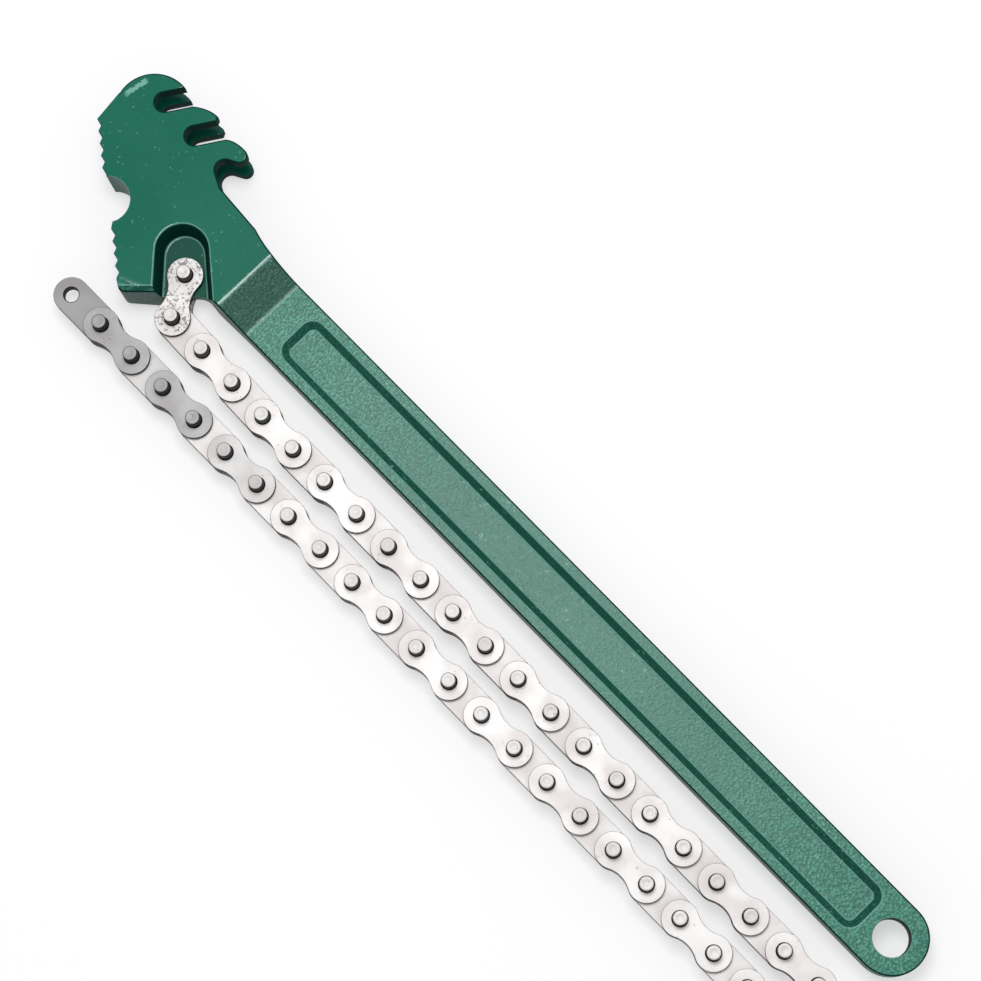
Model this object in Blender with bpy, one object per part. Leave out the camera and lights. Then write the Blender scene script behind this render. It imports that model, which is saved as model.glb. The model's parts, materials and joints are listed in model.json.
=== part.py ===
"""Chain pipe wrench: a one-piece forging with a toothed jaw, three hooks and a leaf chain.

Frame: metres, +Z up. The wrench lies flat with its handle along +X, its hooks towards +Y
and the chain doubled back beside the handle towards -Y. Z = 0 is the plane of the head's
lower face, and X = Y = 0 is the middle of the whole footprint.
While it is being built, X = Y = 0 is the axis of the hanging hole.
"""

import math

import bmesh
import bpy
from mathutils import Vector

# Overall sizes of the forging
OVERALL_LENGTH = 0.4072
HEAD_THICKNESS = 0.0208
HANDLE_WIDTH = 0.0254
HANDLE_THICKNESS = 0.0120
EDGE_CHAMFER = 0.0006

# Hanging hole at the tail
HANG_HOLE_DIAMETER = 0.0130

# Step between the head's faces and the handle's faces, measured from the tip of the head
STEP_START = 0.0807
STEP_LENGTH = 0.0131

# Long recess in each face of the handle
RECESS_RIM = 0.0036
RECESS_DEPTH = 0.0030
RECESS_DRAFT = 0.0027
RECESS_CORNER_RADIUS = 0.0050
RECESS_HEAD_MARGIN = 0.0115
RECESS_TAIL_MARGIN = 0.0040

# Dome of the head; places on the head are (distance from its tip, distance from the axis)
DOME_RADIUS = 0.0140
DOME_HEIGHT = 0.0190
DOME_START = math.radians(195.0)

# Hooks: notches that the chain pins drop into
NOTCH_RADIUS = 0.0035
NOTCH_ANGLE = math.radians(57.0)
NOTCH_SPACING = 0.0164
NOTCH_LINE_SLOPE = math.radians(-3.0)
FIRST_NOTCH_FROM_TIP = 0.0142
HOOK_TIP_HEIGHT = 0.0339
NOTCH_DROP = 0.0097
HOOK_BACK_DROP = 0.0037
HOOK_LIP = 0.0016
BEAK_RISE = 0.00707
BEAK_TOP_BACK = 0.00044
BEAK_ARC = (math.radians(80.0), math.radians(-60.0))
LAST_NOTCH_ARC = (math.radians(110.0), math.radians(240.0))

# Slot between the two rows of hooks, for the plates of the chain
SLOT_CLEARANCE = 0.00045
SLOT_DOME_DEPTH = 0.0050
SLOT_BELOW_NOTCH = 0.007925
SLOT_CORNER = 0.0013
SLOT_END_REACH = 0.0105

# Teeth of the jaw, in two rows with a round relief between them
TOOTH_PITCH = 0.00445
TOOTH_DEPTH = 0.0013
TEETH_PER_ROW = 5
JAW_ANGLE = math.radians(-37.0)
UPPER_ROW_START = (0.0020, 0.0031)
LOWER_ROW_START = (0.0346, -0.0204)
RELIEF_RADIUS = 0.0084
RELIEF_CENTRE = (0.0255, -0.0143)
RELIEF_ARC = (math.radians(-28.0), math.radians(137.0))
JAW_CORNER = (0.0531, -0.0330)
JAW_BACK_ANGLE = math.radians(45.0)
JAW_CORNER_CUT = 0.0013
JAW_BACK_FILLET = 0.0030
JAW_BOTTOM_CHAMFER = 0.0018
JAW_CHAMFER_SPAN = (-0.0254, 0.00889)

# Neck between the hooks and the handle
NECK_DROP = 0.0171
NECK_KNEE = (0.0702, 0.0154)
NECK_CURVE_SHARE = 0.35

# Pocket in each face of the head, round the anchored end of the chain
POCKET_RADIUS = 0.0094
POCKET_CENTRE = (0.0575, -0.0080)
POCKET_DRAFT = 0.0022
POCKET_REACH = 0.0244
POCKET_JAW_SIDE = math.radians(-46.5)
POCKET_HANDLE_SIDE = math.radians(-39.0)
ANCHOR_PIN = (0.0632, -0.0128)

# Leaf chain
CHAIN_PITCH = 0.015875
PLATE_THICKNESS = 0.00203
PLATE_HEIGHT = 0.0127
WAIST_SHARE = 0.68
PIN_DIAMETER = 0.00508
PIN_SHORTFALL = 0.0005
RUNNING_GAP = 0.0003
SEAM_WIDTH = 0.0003
SEAM_DEPTH = 0.0006
LINK_COUNT = 44
DULL_LINKS = 4

# How the chain lies: one strand beside the handle, a turn, and one strand back
ANCHOR_LINK_ANGLE = math.radians(-59.65)
STRAND_SPACING = 0.0173
SAG_ANGLE = math.radians(1.8)
SAG_LINKS = 4

# Facets of the round forms
ARC_STEP = math.radians(24.0)
BEAK_ARC_STEP = math.radians(35.0)
NOTCH_ARC_STEP = math.radians(30.0)
TAIL_ARC_STEP = math.radians(15.0)
POCKET_ARC_STEP = math.radians(20.0)
CORNER_ARC_STEP = math.radians(22.5)
HOLE_SIDES = 24
PIN_SIDES = 8
OUTER_PLATE_ARC_STEPS = 7
INNER_PLATE_ARC_STEPS = 6
SMOOTH_UNDER = math.radians(50.0)

# Share of its depth by which a cutter stands out past the face that it cuts
CUTTER_OVERSHOOT = 0.25

# Sizes that follow from those above
HEAD_TIP_X = HANDLE_WIDTH / 2 - OVERALL_LENGTH
MID_Z = HEAD_THICKNESS / 2
FIRST_NOTCH = (FIRST_NOTCH_FROM_TIP, HOOK_TIP_HEIGHT - NOTCH_DROP)
HOOK_BACK_HEIGHT = HOOK_TIP_HEIGHT - HOOK_BACK_DROP
NECK_HEIGHT = HOOK_TIP_HEIGHT - NECK_DROP
INNER_STACK = 2 * PLATE_THICKNESS + SEAM_WIDTH
OUTER_PLATE_OFFSET = INNER_STACK / 2 + RUNNING_GAP + PLATE_THICKNESS / 2
TONGUE_THICKNESS = INNER_STACK
CHAIN_THICKNESS = 2 * OUTER_PLATE_OFFSET + PLATE_THICKNESS
PIN_LENGTH = HEAD_THICKNESS - 2 * PIN_SHORTFALL
SLOT_WIDTH = CHAIN_THICKNESS + 2 * SLOT_CLEARANCE
PIN_HOLE_RADIUS = (PIN_DIAMETER / 2 + RUNNING_GAP) / math.cos(math.pi / PIN_SIDES)


def clear_scene():
    """Remove every object of the open scene."""
    for obj in list(bpy.data.objects):
        bpy.data.objects.remove(obj, do_unlink=True)


def make_material(name, color, roughness, metallic):
    """A Principled material."""
    material = bpy.data.materials.new(name)
    material.use_nodes = True
    shader = material.node_tree.nodes["Principled BSDF"]
    shader.inputs["Base Color"].default_value = (*color, 1.0)
    shader.inputs["Roughness"].default_value = roughness
    shader.inputs["Metallic"].default_value = metallic
    material.diffuse_color = (*color, 1.0)
    return material


def add_object(name, bm, material=None):
    """Turn a bmesh into an object of the scene."""
    bmesh.ops.recalc_face_normals(bm, faces=bm.faces)
    mesh = bpy.data.meshes.new(name)
    bm.to_mesh(mesh)
    bm.free()
    mesh.shade_smooth()
    mesh.set_sharp_from_angle(angle=SMOOTH_UNDER)
    obj = bpy.data.objects.new(name, mesh)
    bpy.context.scene.collection.objects.link(obj)
    if material:
        mesh.materials.append(material)
    return obj


def on_head(place):
    """A place on the head, from (distance from the tip, distance from the axis)."""
    return Vector((HEAD_TIP_X + place[0], place[1]))


def along(angle, distance=1.0):
    """The vector of a length at an angle."""
    return Vector((math.cos(angle), math.sin(angle))) * distance


def arc(centre, radius, start, end, step=ARC_STEP):
    """Points on an arc, with both ends, turning from the start angle to the end angle."""
    count = max(2, round(abs(end - start) / step))
    turn = (end - start) / count
    return [centre + along(start + turn * i, radius) for i in range(count + 1)]


def circle(centre, radius, sides):
    """Points of a circle, with a flat side across the X axis."""
    return [centre + along(math.tau * (i + 0.5) / sides, radius) for i in range(sides)]


def curve_between(start, control, end, steps):
    """Points of a quadratic curve, with both ends."""
    points = []
    for i in range(steps + 1):
        t = i / steps
        points.append(start * (1 - t) ** 2 + control * (2 * t * (1 - t)) + end * t**2)
    return points


# Outline of the forging, clockwise from the tip of the first tooth

def tooth_row(start, rows_end):
    """Tips and roots of a row of teeth, in order down the jaw."""
    down = along(JAW_ANGLE)
    inward = along(JAW_ANGLE + math.pi / 2)
    points = []
    for i in range(TEETH_PER_ROW):
        tip = on_head(start) + down * TOOTH_PITCH * i
        points.append(tip)
        if i < TEETH_PER_ROW - 1 or rows_end:
            points.append(tip + down * TOOTH_PITCH / 2 + inward * TOOTH_DEPTH)
    return points


def notch_centre(index):
    """Centre of the round end of a hook notch."""
    return on_head(FIRST_NOTCH) + along(NOTCH_LINE_SLOPE, NOTCH_SPACING * index)


def dome_outline():
    """The dome from the first tooth round to the lip of the first hook."""
    centre = on_head((DOME_RADIUS, DOME_HEIGHT))
    across = along(NOTCH_ANGLE + math.pi / 2, NOTCH_RADIUS)
    side = notch_centre(0) + across
    run = side - centre
    out = along(NOTCH_ANGLE)
    half = run.dot(out)
    reach = -half + math.sqrt(half**2 - run.length_squared + DOME_RADIUS**2)
    lip = side + out * reach - centre
    return arc(centre, DOME_RADIUS, DOME_START, math.atan2(lip.y, lip.x))


def notch_outline(index, height):
    """A notch from its upper side, round its end, to its lower side at a height."""
    centre = notch_centre(index)
    first = NOTCH_ANGLE + math.pi / 2
    points = arc(centre, NOTCH_RADIUS, first, first + math.pi, NOTCH_ARC_STEP)
    out = along(NOTCH_ANGLE)
    points.append(points[-1] + out * (height - points[-1].y) / out.y)
    return points


def hook_back(start, index):
    """The back of a hook, from the notch behind it to its lip over its own notch."""
    side = notch_centre(index) + along(NOTCH_ANGLE + math.pi / 2, NOTCH_RADIUS)
    out = along(NOTCH_ANGLE)
    under_lip = side + out * (HOOK_TIP_HEIGHT - HOOK_LIP - side.y) / out.y
    tip = Vector((under_lip.x - HOOK_LIP / 2, HOOK_TIP_HEIGHT))
    shoulder = Vector(((start.x + tip.x) / 2, HOOK_TIP_HEIGHT))
    return curve_between(start, shoulder, tip, 4)[1:] + [under_lip]


def last_hook(start):
    """The beak of the last hook and the open notch under it."""
    centre = notch_centre(2)
    top = Vector((centre.x - BEAK_TOP_BACK, HOOK_TIP_HEIGHT - HOOK_LIP))
    shoulder = Vector(((start.x * 2 + top.x) / 3, top.y))
    points = curve_between(start, shoulder, top, 3)[1:]
    beak = centre + Vector((0.0, BEAK_RISE))
    points += arc(beak, top.y - beak.y, *BEAK_ARC, BEAK_ARC_STEP)
    points += arc(centre, NOTCH_RADIUS, *LAST_NOTCH_ARC, NOTCH_ARC_STEP)
    return points


def neck_outline():
    """The concave neck from the last notch to the handle's upper edge."""
    start = Vector((notch_centre(2).x + NOTCH_RADIUS, NECK_HEIGHT))
    knee = on_head(NECK_KNEE)
    handle = Vector((HEAD_TIP_X + STEP_START + STEP_LENGTH, HANDLE_WIDTH / 2))
    control = Vector((knee.x + (handle.x - knee.x) * NECK_CURVE_SHARE, handle.y))
    return [start, knee] + curve_between(knee, control, handle, 5)[1:]


def point_at_x(points, x):
    """The point of an open outline at a value of x, by straight interpolation."""
    a, b = next(pair for pair in zip(points, points[1:]) if pair[0].x < x < pair[1].x)
    return a.lerp(b, (x - a.x) / (b.x - a.x))


def jaw_bottom():
    """From the handle's lower edge down the back of the jaw to its cut corner."""
    corner = on_head(JAW_CORNER)
    slope = along(JAW_BACK_ANGLE)
    meet = corner + slope * (-HANDLE_WIDTH / 2 - corner.y) / slope.y
    return [
        Vector((meet.x + JAW_BACK_FILLET, meet.y)),
        meet - slope * JAW_BACK_FILLET,
        corner + slope * JAW_CORNER_CUT,
        corner - Vector((JAW_CORNER_CUT, 0.0)),
    ]


def forging_outline():
    """The whole outline as (point, is on a tooth), clockwise."""
    step_end = HEAD_TIP_X + STEP_START + STEP_LENGTH
    step_start = HEAD_TIP_X + STEP_START
    dome = dome_outline()
    first = notch_outline(0, HOOK_BACK_HEIGHT)
    second_hook = hook_back(first[-1], 1)
    second = notch_outline(1, HOOK_BACK_HEIGHT)
    beak = last_hook(second[-1])
    neck = neck_outline()
    neck.append(point_at_x(neck, step_start))
    neck.sort(key=lambda p: p.x)
    tail = arc(Vector((0.0, 0.0)), HANDLE_WIDTH / 2, math.pi / 2, -math.pi / 2, TAIL_ARC_STEP)
    lower = [Vector((step_end, -HANDLE_WIDTH / 2)), Vector((step_start, -HANDLE_WIDTH / 2))]
    smooth = dome + first + second_hook + second + beak + neck + tail + lower + jaw_bottom()
    relief = arc(on_head(RELIEF_CENTRE), RELIEF_RADIUS, *RELIEF_ARC)
    upper_row = tooth_row(UPPER_ROW_START, True)
    lower_row = tooth_row(LOWER_ROW_START, False)
    outline = [(p, False) for p in smooth]
    outline += [(p, True) for p in reversed(lower_row)]
    outline += [(p, False) for p in relief]
    outline += [(p, True) for p in reversed(upper_row)]
    return outline


def half_thickness(x):
    """Half of the forging's thickness at a value of x."""
    start = HEAD_TIP_X + STEP_START
    share = min(max((x - start) / STEP_LENGTH, 0.0), 1.0)
    return (HEAD_THICKNESS + (HANDLE_THICKNESS - HEAD_THICKNESS) * share) / 2


def forging_blank():
    """The outline given its thickness, with the step, and its edges chamfered."""
    outline = forging_outline()
    step_start = HEAD_TIP_X + STEP_START
    step_end = step_start + STEP_LENGTH
    bm = bmesh.new()
    rims = {}
    for side in (1, -1):
        rims[side] = [
            bm.verts.new((p.x, p.y, MID_Z + side * half_thickness(p.x))) for p, _ in outline
        ]
    count = len(outline)
    for i in range(count):
        j = (i + 1) % count
        bm.faces.new((rims[1][i], rims[1][j], rims[-1][j], rims[-1][i]))
    near = RUNNING_GAP / 100
    head = [i for i in range(count) if outline[i][0].x < step_start + near]
    slope = [i for i in range(count) if step_start - near < outline[i][0].x < step_end + near]
    handle = [i for i in range(count) if outline[i][0].x > step_end - near]
    gap = next(n for n in range(len(head)) if head[n] + 1 != head[(n + 1) % len(head)]) + 1
    head = head[gap:] + head[:gap]
    for side in (1, -1):
        for part in (head, slope, handle):
            bm.faces.new([rims[side][i] for i in part])
    bmesh.ops.recalc_face_normals(bm, faces=bm.faces)
    sharp = []
    for side in (1, -1):
        for i in range(count):
            j = (i + 1) % count
            if not (outline[i][1] or outline[j][1]):
                sharp.append(bm.edges.get((rims[side][i], rims[side][j])))
    bmesh.ops.bevel(
        bm, geom=sharp, offset=EDGE_CHAMFER, offset_type="OFFSET", segments=1,
        affect="EDGES", clamp_overlap=True,
    )
    return bm


# Cutters for the forging's hollows

def cutter_between(name, rings):
    """A cutter closed between two rings of points."""
    bm = bmesh.new()
    first, last = [[bm.verts.new(point) for point in ring] for ring in rings]
    wall(bm, first, last)
    bm.faces.new(first)
    bm.faces.new(last)
    return as_cutter(add_object(name, bm))


def at_height(points, z):
    """An outline's points at one height."""
    return [(point.x, point.y, z) for point in points]


def as_cutter(obj):
    """Mark an object as a cutter."""
    obj.hide_render = True
    obj.display_type = "WIRE"
    return obj


def pocket_outline(inset):
    """Arch of the pocket, open past the bottom of the head."""
    centre = on_head(POCKET_CENTRE)
    radius = POCKET_RADIUS - inset
    jaw_side = POCKET_JAW_SIDE - math.pi / 2
    handle_side = POCKET_HANDLE_SIDE + math.pi / 2
    arch = arc(centre, radius, jaw_side + 2 * math.pi, handle_side, POCKET_ARC_STEP)
    left = arch[0] + along(POCKET_JAW_SIDE, POCKET_REACH)
    right = arch[-1] + along(POCKET_HANDLE_SIDE, POCKET_REACH)
    return [left] + arch + [right]


def pocket_cutters():
    """One pocket in each face, down to the tongue that the chain is pinned to."""
    depth = (HEAD_THICKNESS - TONGUE_THICKNESS) / 2
    floor = pocket_outline(POCKET_DRAFT)
    mouth = pocket_outline(-POCKET_DRAFT * CUTTER_OVERSHOOT)
    cutters = []
    for name, side in (("front", 1), ("back", -1)):
        floor_z = MID_Z + side * TONGUE_THICKNESS / 2
        mouth_z = floor_z + side * depth * (1 + CUTTER_OVERSHOOT)
        rings = [at_height(floor, floor_z), at_height(mouth, mouth_z)]
        cutters.append(cutter_between(f"pocket_cutter_{name}", rings))
    return cutters


def rounded_rectangle(x_low, x_high, half_width, radius):
    """A rectangle along the handle with round corners."""
    corners = (
        (x_high - radius, half_width - radius, 0.0),
        (x_low + radius, half_width - radius, 90.0),
        (x_low + radius, radius - half_width, 180.0),
        (x_high - radius, radius - half_width, 270.0),
    )
    points = []
    for x, y, start in corners:
        first = math.radians(start)
        points += arc(Vector((x, y)), radius, first, first + math.pi / 2, CORNER_ARC_STEP)
    return points


def recess_cutters():
    """The long recess in each face of the handle."""
    head_end = HEAD_TIP_X + STEP_START + STEP_LENGTH + RECESS_HEAD_MARGIN
    tail_end = -HANG_HOLE_DIAMETER / 2 - RECESS_TAIL_MARGIN
    half_width = HANDLE_WIDTH / 2 - RECESS_RIM
    floor, mouth = [
        rounded_rectangle(
            head_end + draft, tail_end - draft, half_width - draft, RECESS_CORNER_RADIUS - draft
        )
        for draft in (RECESS_DRAFT, -RECESS_DRAFT * CUTTER_OVERSHOOT)
    ]
    cutters = []
    for name, side in (("front", 1), ("back", -1)):
        floor_z = MID_Z + side * (HANDLE_THICKNESS / 2 - RECESS_DEPTH)
        mouth_z = floor_z + side * RECESS_DEPTH * (1 + CUTTER_OVERSHOOT)
        rings = [at_height(floor, floor_z), at_height(mouth, mouth_z)]
        cutters.append(cutter_between(f"recess_cutter_{name}", rings))
    return cutters


def slot_cutter():
    """The slot round the dome and through the hooks."""
    dome = on_head((DOME_RADIUS, DOME_HEIGHT))
    first = notch_centre(0)
    last = notch_centre(2)
    left = HEAD_TIP_X - DOME_RADIUS
    right = last.x + SLOT_END_REACH
    top = HOOK_TIP_HEIGHT + DOME_RADIUS
    tooth = on_head(UPPER_ROW_START)
    inner_x = dome.x - DOME_RADIUS + SLOT_DOME_DEPTH
    corner = Vector((inner_x, first.y - SLOT_BELOW_NOTCH))
    turn_start = Vector((inner_x, tooth.y + SLOT_CORNER))
    turn_end = Vector((first.x, corner.y))
    points = [
        Vector((left, tooth.y - SLOT_CORNER)),
        Vector((inner_x - SLOT_CORNER, tooth.y - SLOT_CORNER)),
        *curve_between(turn_start, corner, turn_end, 4),
        Vector((last.x, last.y - SLOT_BELOW_NOTCH)),
        Vector((right, NECK_HEIGHT + SLOT_CORNER)),
        Vector((right, top)),
        Vector((left, top)),
    ]
    rings = [at_height(points, MID_Z + side * SLOT_WIDTH / 2) for side in (-1, 1)]
    return cutter_between("slot_cutter", rings)


def hole_cutter(name, centre, radius, sides, depth):
    """A round hole through the forging."""
    points = circle(centre, radius, sides)
    rings = [at_height(points, MID_Z + side * depth) for side in (-1, 1)]
    return cutter_between(name, rings)


def jaw_chamfer_cutters():
    """The wide chamfer along the jaw's bottom edge, on both faces."""
    corner = on_head(JAW_CORNER)
    inward = along(JAW_BACK_ANGLE + math.pi / 2, JAW_BOTTOM_CHAMFER)
    cutters = []
    for name, side in (("front", 1), ("back", -1)):
        face_z = MID_Z + side * HEAD_THICKNESS / 2
        rings = []
        for reach in JAW_CHAMFER_SPAN:
            base = corner + along(JAW_BACK_ANGLE, reach)
            ring = [
                (base + inward * 2, face_z + side * JAW_BOTTOM_CHAMFER),
                (base - inward, face_z - side * JAW_BOTTOM_CHAMFER * 2),
                (base - inward * 3, face_z + side * JAW_BOTTOM_CHAMFER),
            ]
            rings.append([(point.x, point.y, z) for point, z in ring])
        cutters.append(cutter_between(f"jaw_chamfer_cutter_{name}", rings))
    return cutters


def make_forging(material):
    """Head and handle: the blank less its hollows."""
    body = add_object("wrench_body", forging_blank(), material)
    cutters = pocket_cutters() + recess_cutters() + jaw_chamfer_cutters()
    cutters.append(slot_cutter())
    hole_radius = HANG_HOLE_DIAMETER / 2
    centre = Vector((0.0, 0.0))
    cutters.append(
        hole_cutter("hang_hole_cutter", centre, hole_radius, HOLE_SIDES, HEAD_THICKNESS)
    )
    cutters.append(
        hole_cutter(
            "anchor_hole_cutter", on_head(ANCHOR_PIN), PIN_HOLE_RADIUS, PIN_SIDES, HEAD_THICKNESS
        )
    )
    for cutter in cutters:
        cut = body.modifiers.new(cutter.name, "BOOLEAN")
        cut.operation = "DIFFERENCE"
        cut.solver = "EXACT"
        cut.object = cutter
        cutter.parent = body
    return body


# Chain

def plate_outline(radius, waist_share, arc_steps):
    """Outline of a plate: its two round ends, and the hollows of its waist if it has one."""
    waist = PLATE_HEIGHT / 2 * waist_share
    half = CHAIN_PITCH / 2
    opening = math.pi / 2
    if waist_share < 1.0:
        hollow = (half**2 + waist**2 - radius**2) / (2 * (radius - waist))
        opening = math.atan2(waist + hollow, half)
    sweep = 2 * (math.pi - opening)
    step = sweep / arc_steps
    points = arc(Vector((0.0, 0.0)), radius, opening, opening + sweep, step)
    if waist_share < 1.0:
        points.append(Vector((half, -waist)))
    far = Vector((CHAIN_PITCH, 0.0))
    points += arc(far, radius, opening - math.pi, opening - math.pi + sweep, step)
    if waist_share < 1.0:
        points.append(Vector((half, waist)))
    return points


def pin_circle(x, radius):
    """A circle on the chain's pin line."""
    return circle(Vector((x, 0.0)), radius, PIN_SIDES)


def pin_bores():
    """The bores at both ends of a plate that turns on its pins."""
    return [pin_circle(0.0, PIN_HOLE_RADIUS), pin_circle(CHAIN_PITCH, PIN_HOLE_RADIUS)]


def bored_solid(layers, bores):
    """A closed solid of stacked outlines, with bores through it."""
    bm = bmesh.new()
    rings = [[bm.verts.new(p) for p in at_height(points, z)] for z, points in layers]
    for lower, upper in zip(rings, rings[1:]):
        wall(bm, lower, upper)
    ends = {0: [rings[0]], 1: [rings[-1]]}
    for points in bores:
        pair = [[bm.verts.new(p) for p in at_height(points, z)] for z in (layers[0][0], layers[-1][0])]
        wall(bm, pair[0], pair[1])
        ends[0].append(pair[0])
        ends[1].append(pair[1])
    for loops in ends.values():
        edges = [
            bm.edges.get((a, b)) for loop in loops for a, b in zip(loop, loop[1:] + loop[:1])
        ]
        bmesh.ops.triangle_fill(bm, use_beauty=True, use_dissolve=False, edges=edges)
    return bm


def wall(bm, lower, upper):
    """A band of faces between two rings."""
    count = len(lower)
    for i in range(count):
        j = (i + 1) % count
        bm.faces.new((lower[i], lower[j], upper[j], upper[i]))


def pin_solid(name, x, material=None):
    """A pin, from one end to the other."""
    points = pin_circle(x, PIN_DIAMETER / 2)
    layers = [(-PIN_LENGTH / 2, points), (PIN_LENGTH / 2, points)]
    return add_object(name, bored_solid(layers, []), material)


def outer_plate(name, middle_z, bored, material=None):
    """A waisted plate, bored for loose pins or left whole for riveted ones."""
    points = plate_outline(PLATE_HEIGHT / 2, WAIST_SHARE, OUTER_PLATE_ARC_STEPS)
    half = PLATE_THICKNESS / 2
    layers = [(middle_z - half, points), (middle_z + half, points)]
    bores = pin_bores() if bored else []
    return add_object(name, bored_solid(layers, bores), material)


def outer_link_mesh(material):
    """Two waisted plates riveted to two pins, as one solid."""
    link = outer_plate("riveted_plate", OUTER_PLATE_OFFSET, False, material)
    others = [
        outer_plate("riveted_plate_far", -OUTER_PLATE_OFFSET, False, material),
        pin_solid("riveted_pin_near", 0.0, material),
        pin_solid("riveted_pin_far", CHAIN_PITCH, material),
    ]
    for other in others:
        union = link.modifiers.new(other.name, "BOOLEAN")
        union.operation = "UNION"
        union.solver = "EXACT"
        union.object = other
    bpy.context.view_layer.update()
    depsgraph = bpy.context.evaluated_depsgraph_get()
    mesh = bpy.data.meshes.new_from_object(link.evaluated_get(depsgraph))
    for obj in [link] + others:
        bpy.data.objects.remove(obj, do_unlink=True)
    return mesh


def inner_link_mesh(material):
    """Two straight-sided plates face to face, with the seam between them."""
    half = INNER_STACK / 2
    full = plate_outline(PLATE_HEIGHT / 2, 1.0, INNER_PLATE_ARC_STEPS)
    seam = plate_outline(PLATE_HEIGHT / 2 - SEAM_DEPTH, 1.0, INNER_PLATE_ARC_STEPS)
    layers = [
        (-half, full),
        (-SEAM_WIDTH / 2, full),
        (0.0, seam),
        (SEAM_WIDTH / 2, full),
        (half, full),
    ]
    sample = add_object("stacked_plates", bored_solid(layers, pin_bores()), material)
    mesh = sample.data
    bpy.data.objects.remove(sample, do_unlink=True)
    return mesh


def resting_turns():
    """The turn of each link against the one before it, as the chain lies."""
    lean = math.asin(STRAND_SPACING / CHAIN_PITCH - 1)
    middle = LINK_COUNT // 2
    turns = [0.0] * LINK_COUNT
    turns[0] = ANCHOR_LINK_ANGLE
    turns[1] = -ANCHOR_LINK_ANGLE - SAG_ANGLE
    turns[1 + SAG_LINKS] = SAG_ANGLE
    turns[middle - 1] = -math.pi / 2
    turns[middle] = lean - math.pi / 2
    turns[middle + 1] = -lean
    return turns


def place_link(parts, carrier, location, turn):
    """Hang the solids of a link on the link before it and turn them about its pin."""
    lead = parts[0]
    lead.parent = carrier
    lead.location = location
    lead.rotation_euler = (0.0, 0.0, turn)
    for part in parts[1:]:
        part.parent = lead


def anchor_link(materials):
    """The link pinned to the forging: two plates and the two pins through them."""
    steel = materials["anchor"]
    return [
        outer_plate("anchor_plate_front", OUTER_PLATE_OFFSET, True, steel),
        outer_plate("anchor_plate_back", -OUTER_PLATE_OFFSET, True, steel),
        pin_solid("anchor_pin", 0.0, materials["pin"]),
        pin_solid("anchor_link_pin", CHAIN_PITCH, materials["pin"]),
    ]


def make_chain(body, materials):
    """Every link, each carried by the one before it and turning about its first pin."""
    meshes = [
        (inner_link_mesh(materials["inner"]), outer_link_mesh(materials["outer"])),
        (inner_link_mesh(materials["end"]), outer_link_mesh(materials["end"])),
    ]
    carrier = body
    place = on_head(ANCHOR_PIN)
    location = Vector((place.x, place.y, MID_Z))
    for number, turn in enumerate(resting_turns(), start=1):
        if number == 1:
            parts = anchor_link(materials)
        else:
            kind = ("inner", "outer")[number % 2]
            dull = number > LINK_COUNT - DULL_LINKS
            mesh = meshes[dull][number % 2]
            name = "end_link" if number == LINK_COUNT else f"{kind}_link_{number:02d}"
            link = bpy.data.objects.new(name, mesh)
            bpy.context.scene.collection.objects.link(link)
            parts = [link]
        place_link(parts, carrier, location, turn)
        carrier = parts[0]
        location = Vector((CHAIN_PITCH, 0.0, 0.0))


def settle(body):
    """Move the wrench so that the middle of its footprint is at X = Y = 0."""
    bpy.context.view_layer.update()
    corners = [
        obj.matrix_world @ vertex.co
        for obj in bpy.data.objects
        if obj.type == "MESH" and not obj.hide_render
        for vertex in obj.data.vertices
    ]
    for axis in (0, 1):
        values = [corner[axis] for corner in corners]
        body.location[axis] -= (min(values) + max(values)) / 2


def main():
    """Build the wrench."""
    clear_scene()
    materials = {
        "anchor": make_material("anchor_steel", (0.72, 0.70, 0.69), 0.45, 0.8),
        "pin": make_material("pin_steel", (0.74, 0.72, 0.71), 0.35, 0.9),
        "outer": make_material("outer_plate_steel", (0.78, 0.77, 0.76), 0.32, 0.85),
        "inner": make_material("inner_plate_steel", (0.74, 0.73, 0.72), 0.35, 0.85),
        "end": make_material("end_link_steel", (0.42, 0.42, 0.42), 0.45, 0.8),
    }
    green = make_material("green_paint", (0.018, 0.16, 0.11), 0.35, 0.0)
    body = make_forging(green)
    make_chain(body, materials)
    settle(body)


main()
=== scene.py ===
"""Looks of a chain pipe wrench: painted forging, plated leaf chain, and a pale studio round them."""

import json
import math

import bmesh
import bpy
from bpy.props import FloatProperty, FloatVectorProperty, IntProperty, PointerProperty
from mathutils import Matrix, Vector


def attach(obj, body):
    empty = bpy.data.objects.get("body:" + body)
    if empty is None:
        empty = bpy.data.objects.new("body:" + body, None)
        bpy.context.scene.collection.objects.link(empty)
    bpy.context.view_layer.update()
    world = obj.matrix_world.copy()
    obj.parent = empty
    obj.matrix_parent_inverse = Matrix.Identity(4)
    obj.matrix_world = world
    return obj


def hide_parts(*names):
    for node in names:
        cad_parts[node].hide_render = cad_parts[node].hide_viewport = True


bl_info = {
    "name": "Chain Pipe Wrench",
    "version": (1, 0, 0),
    "blender": (4, 5, 0),
    "location": "View3D > Sidebar > Chain Wrench",
    "description": "Dresses the packed model of a chain pipe wrench",
    "category": "Object",
}

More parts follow.
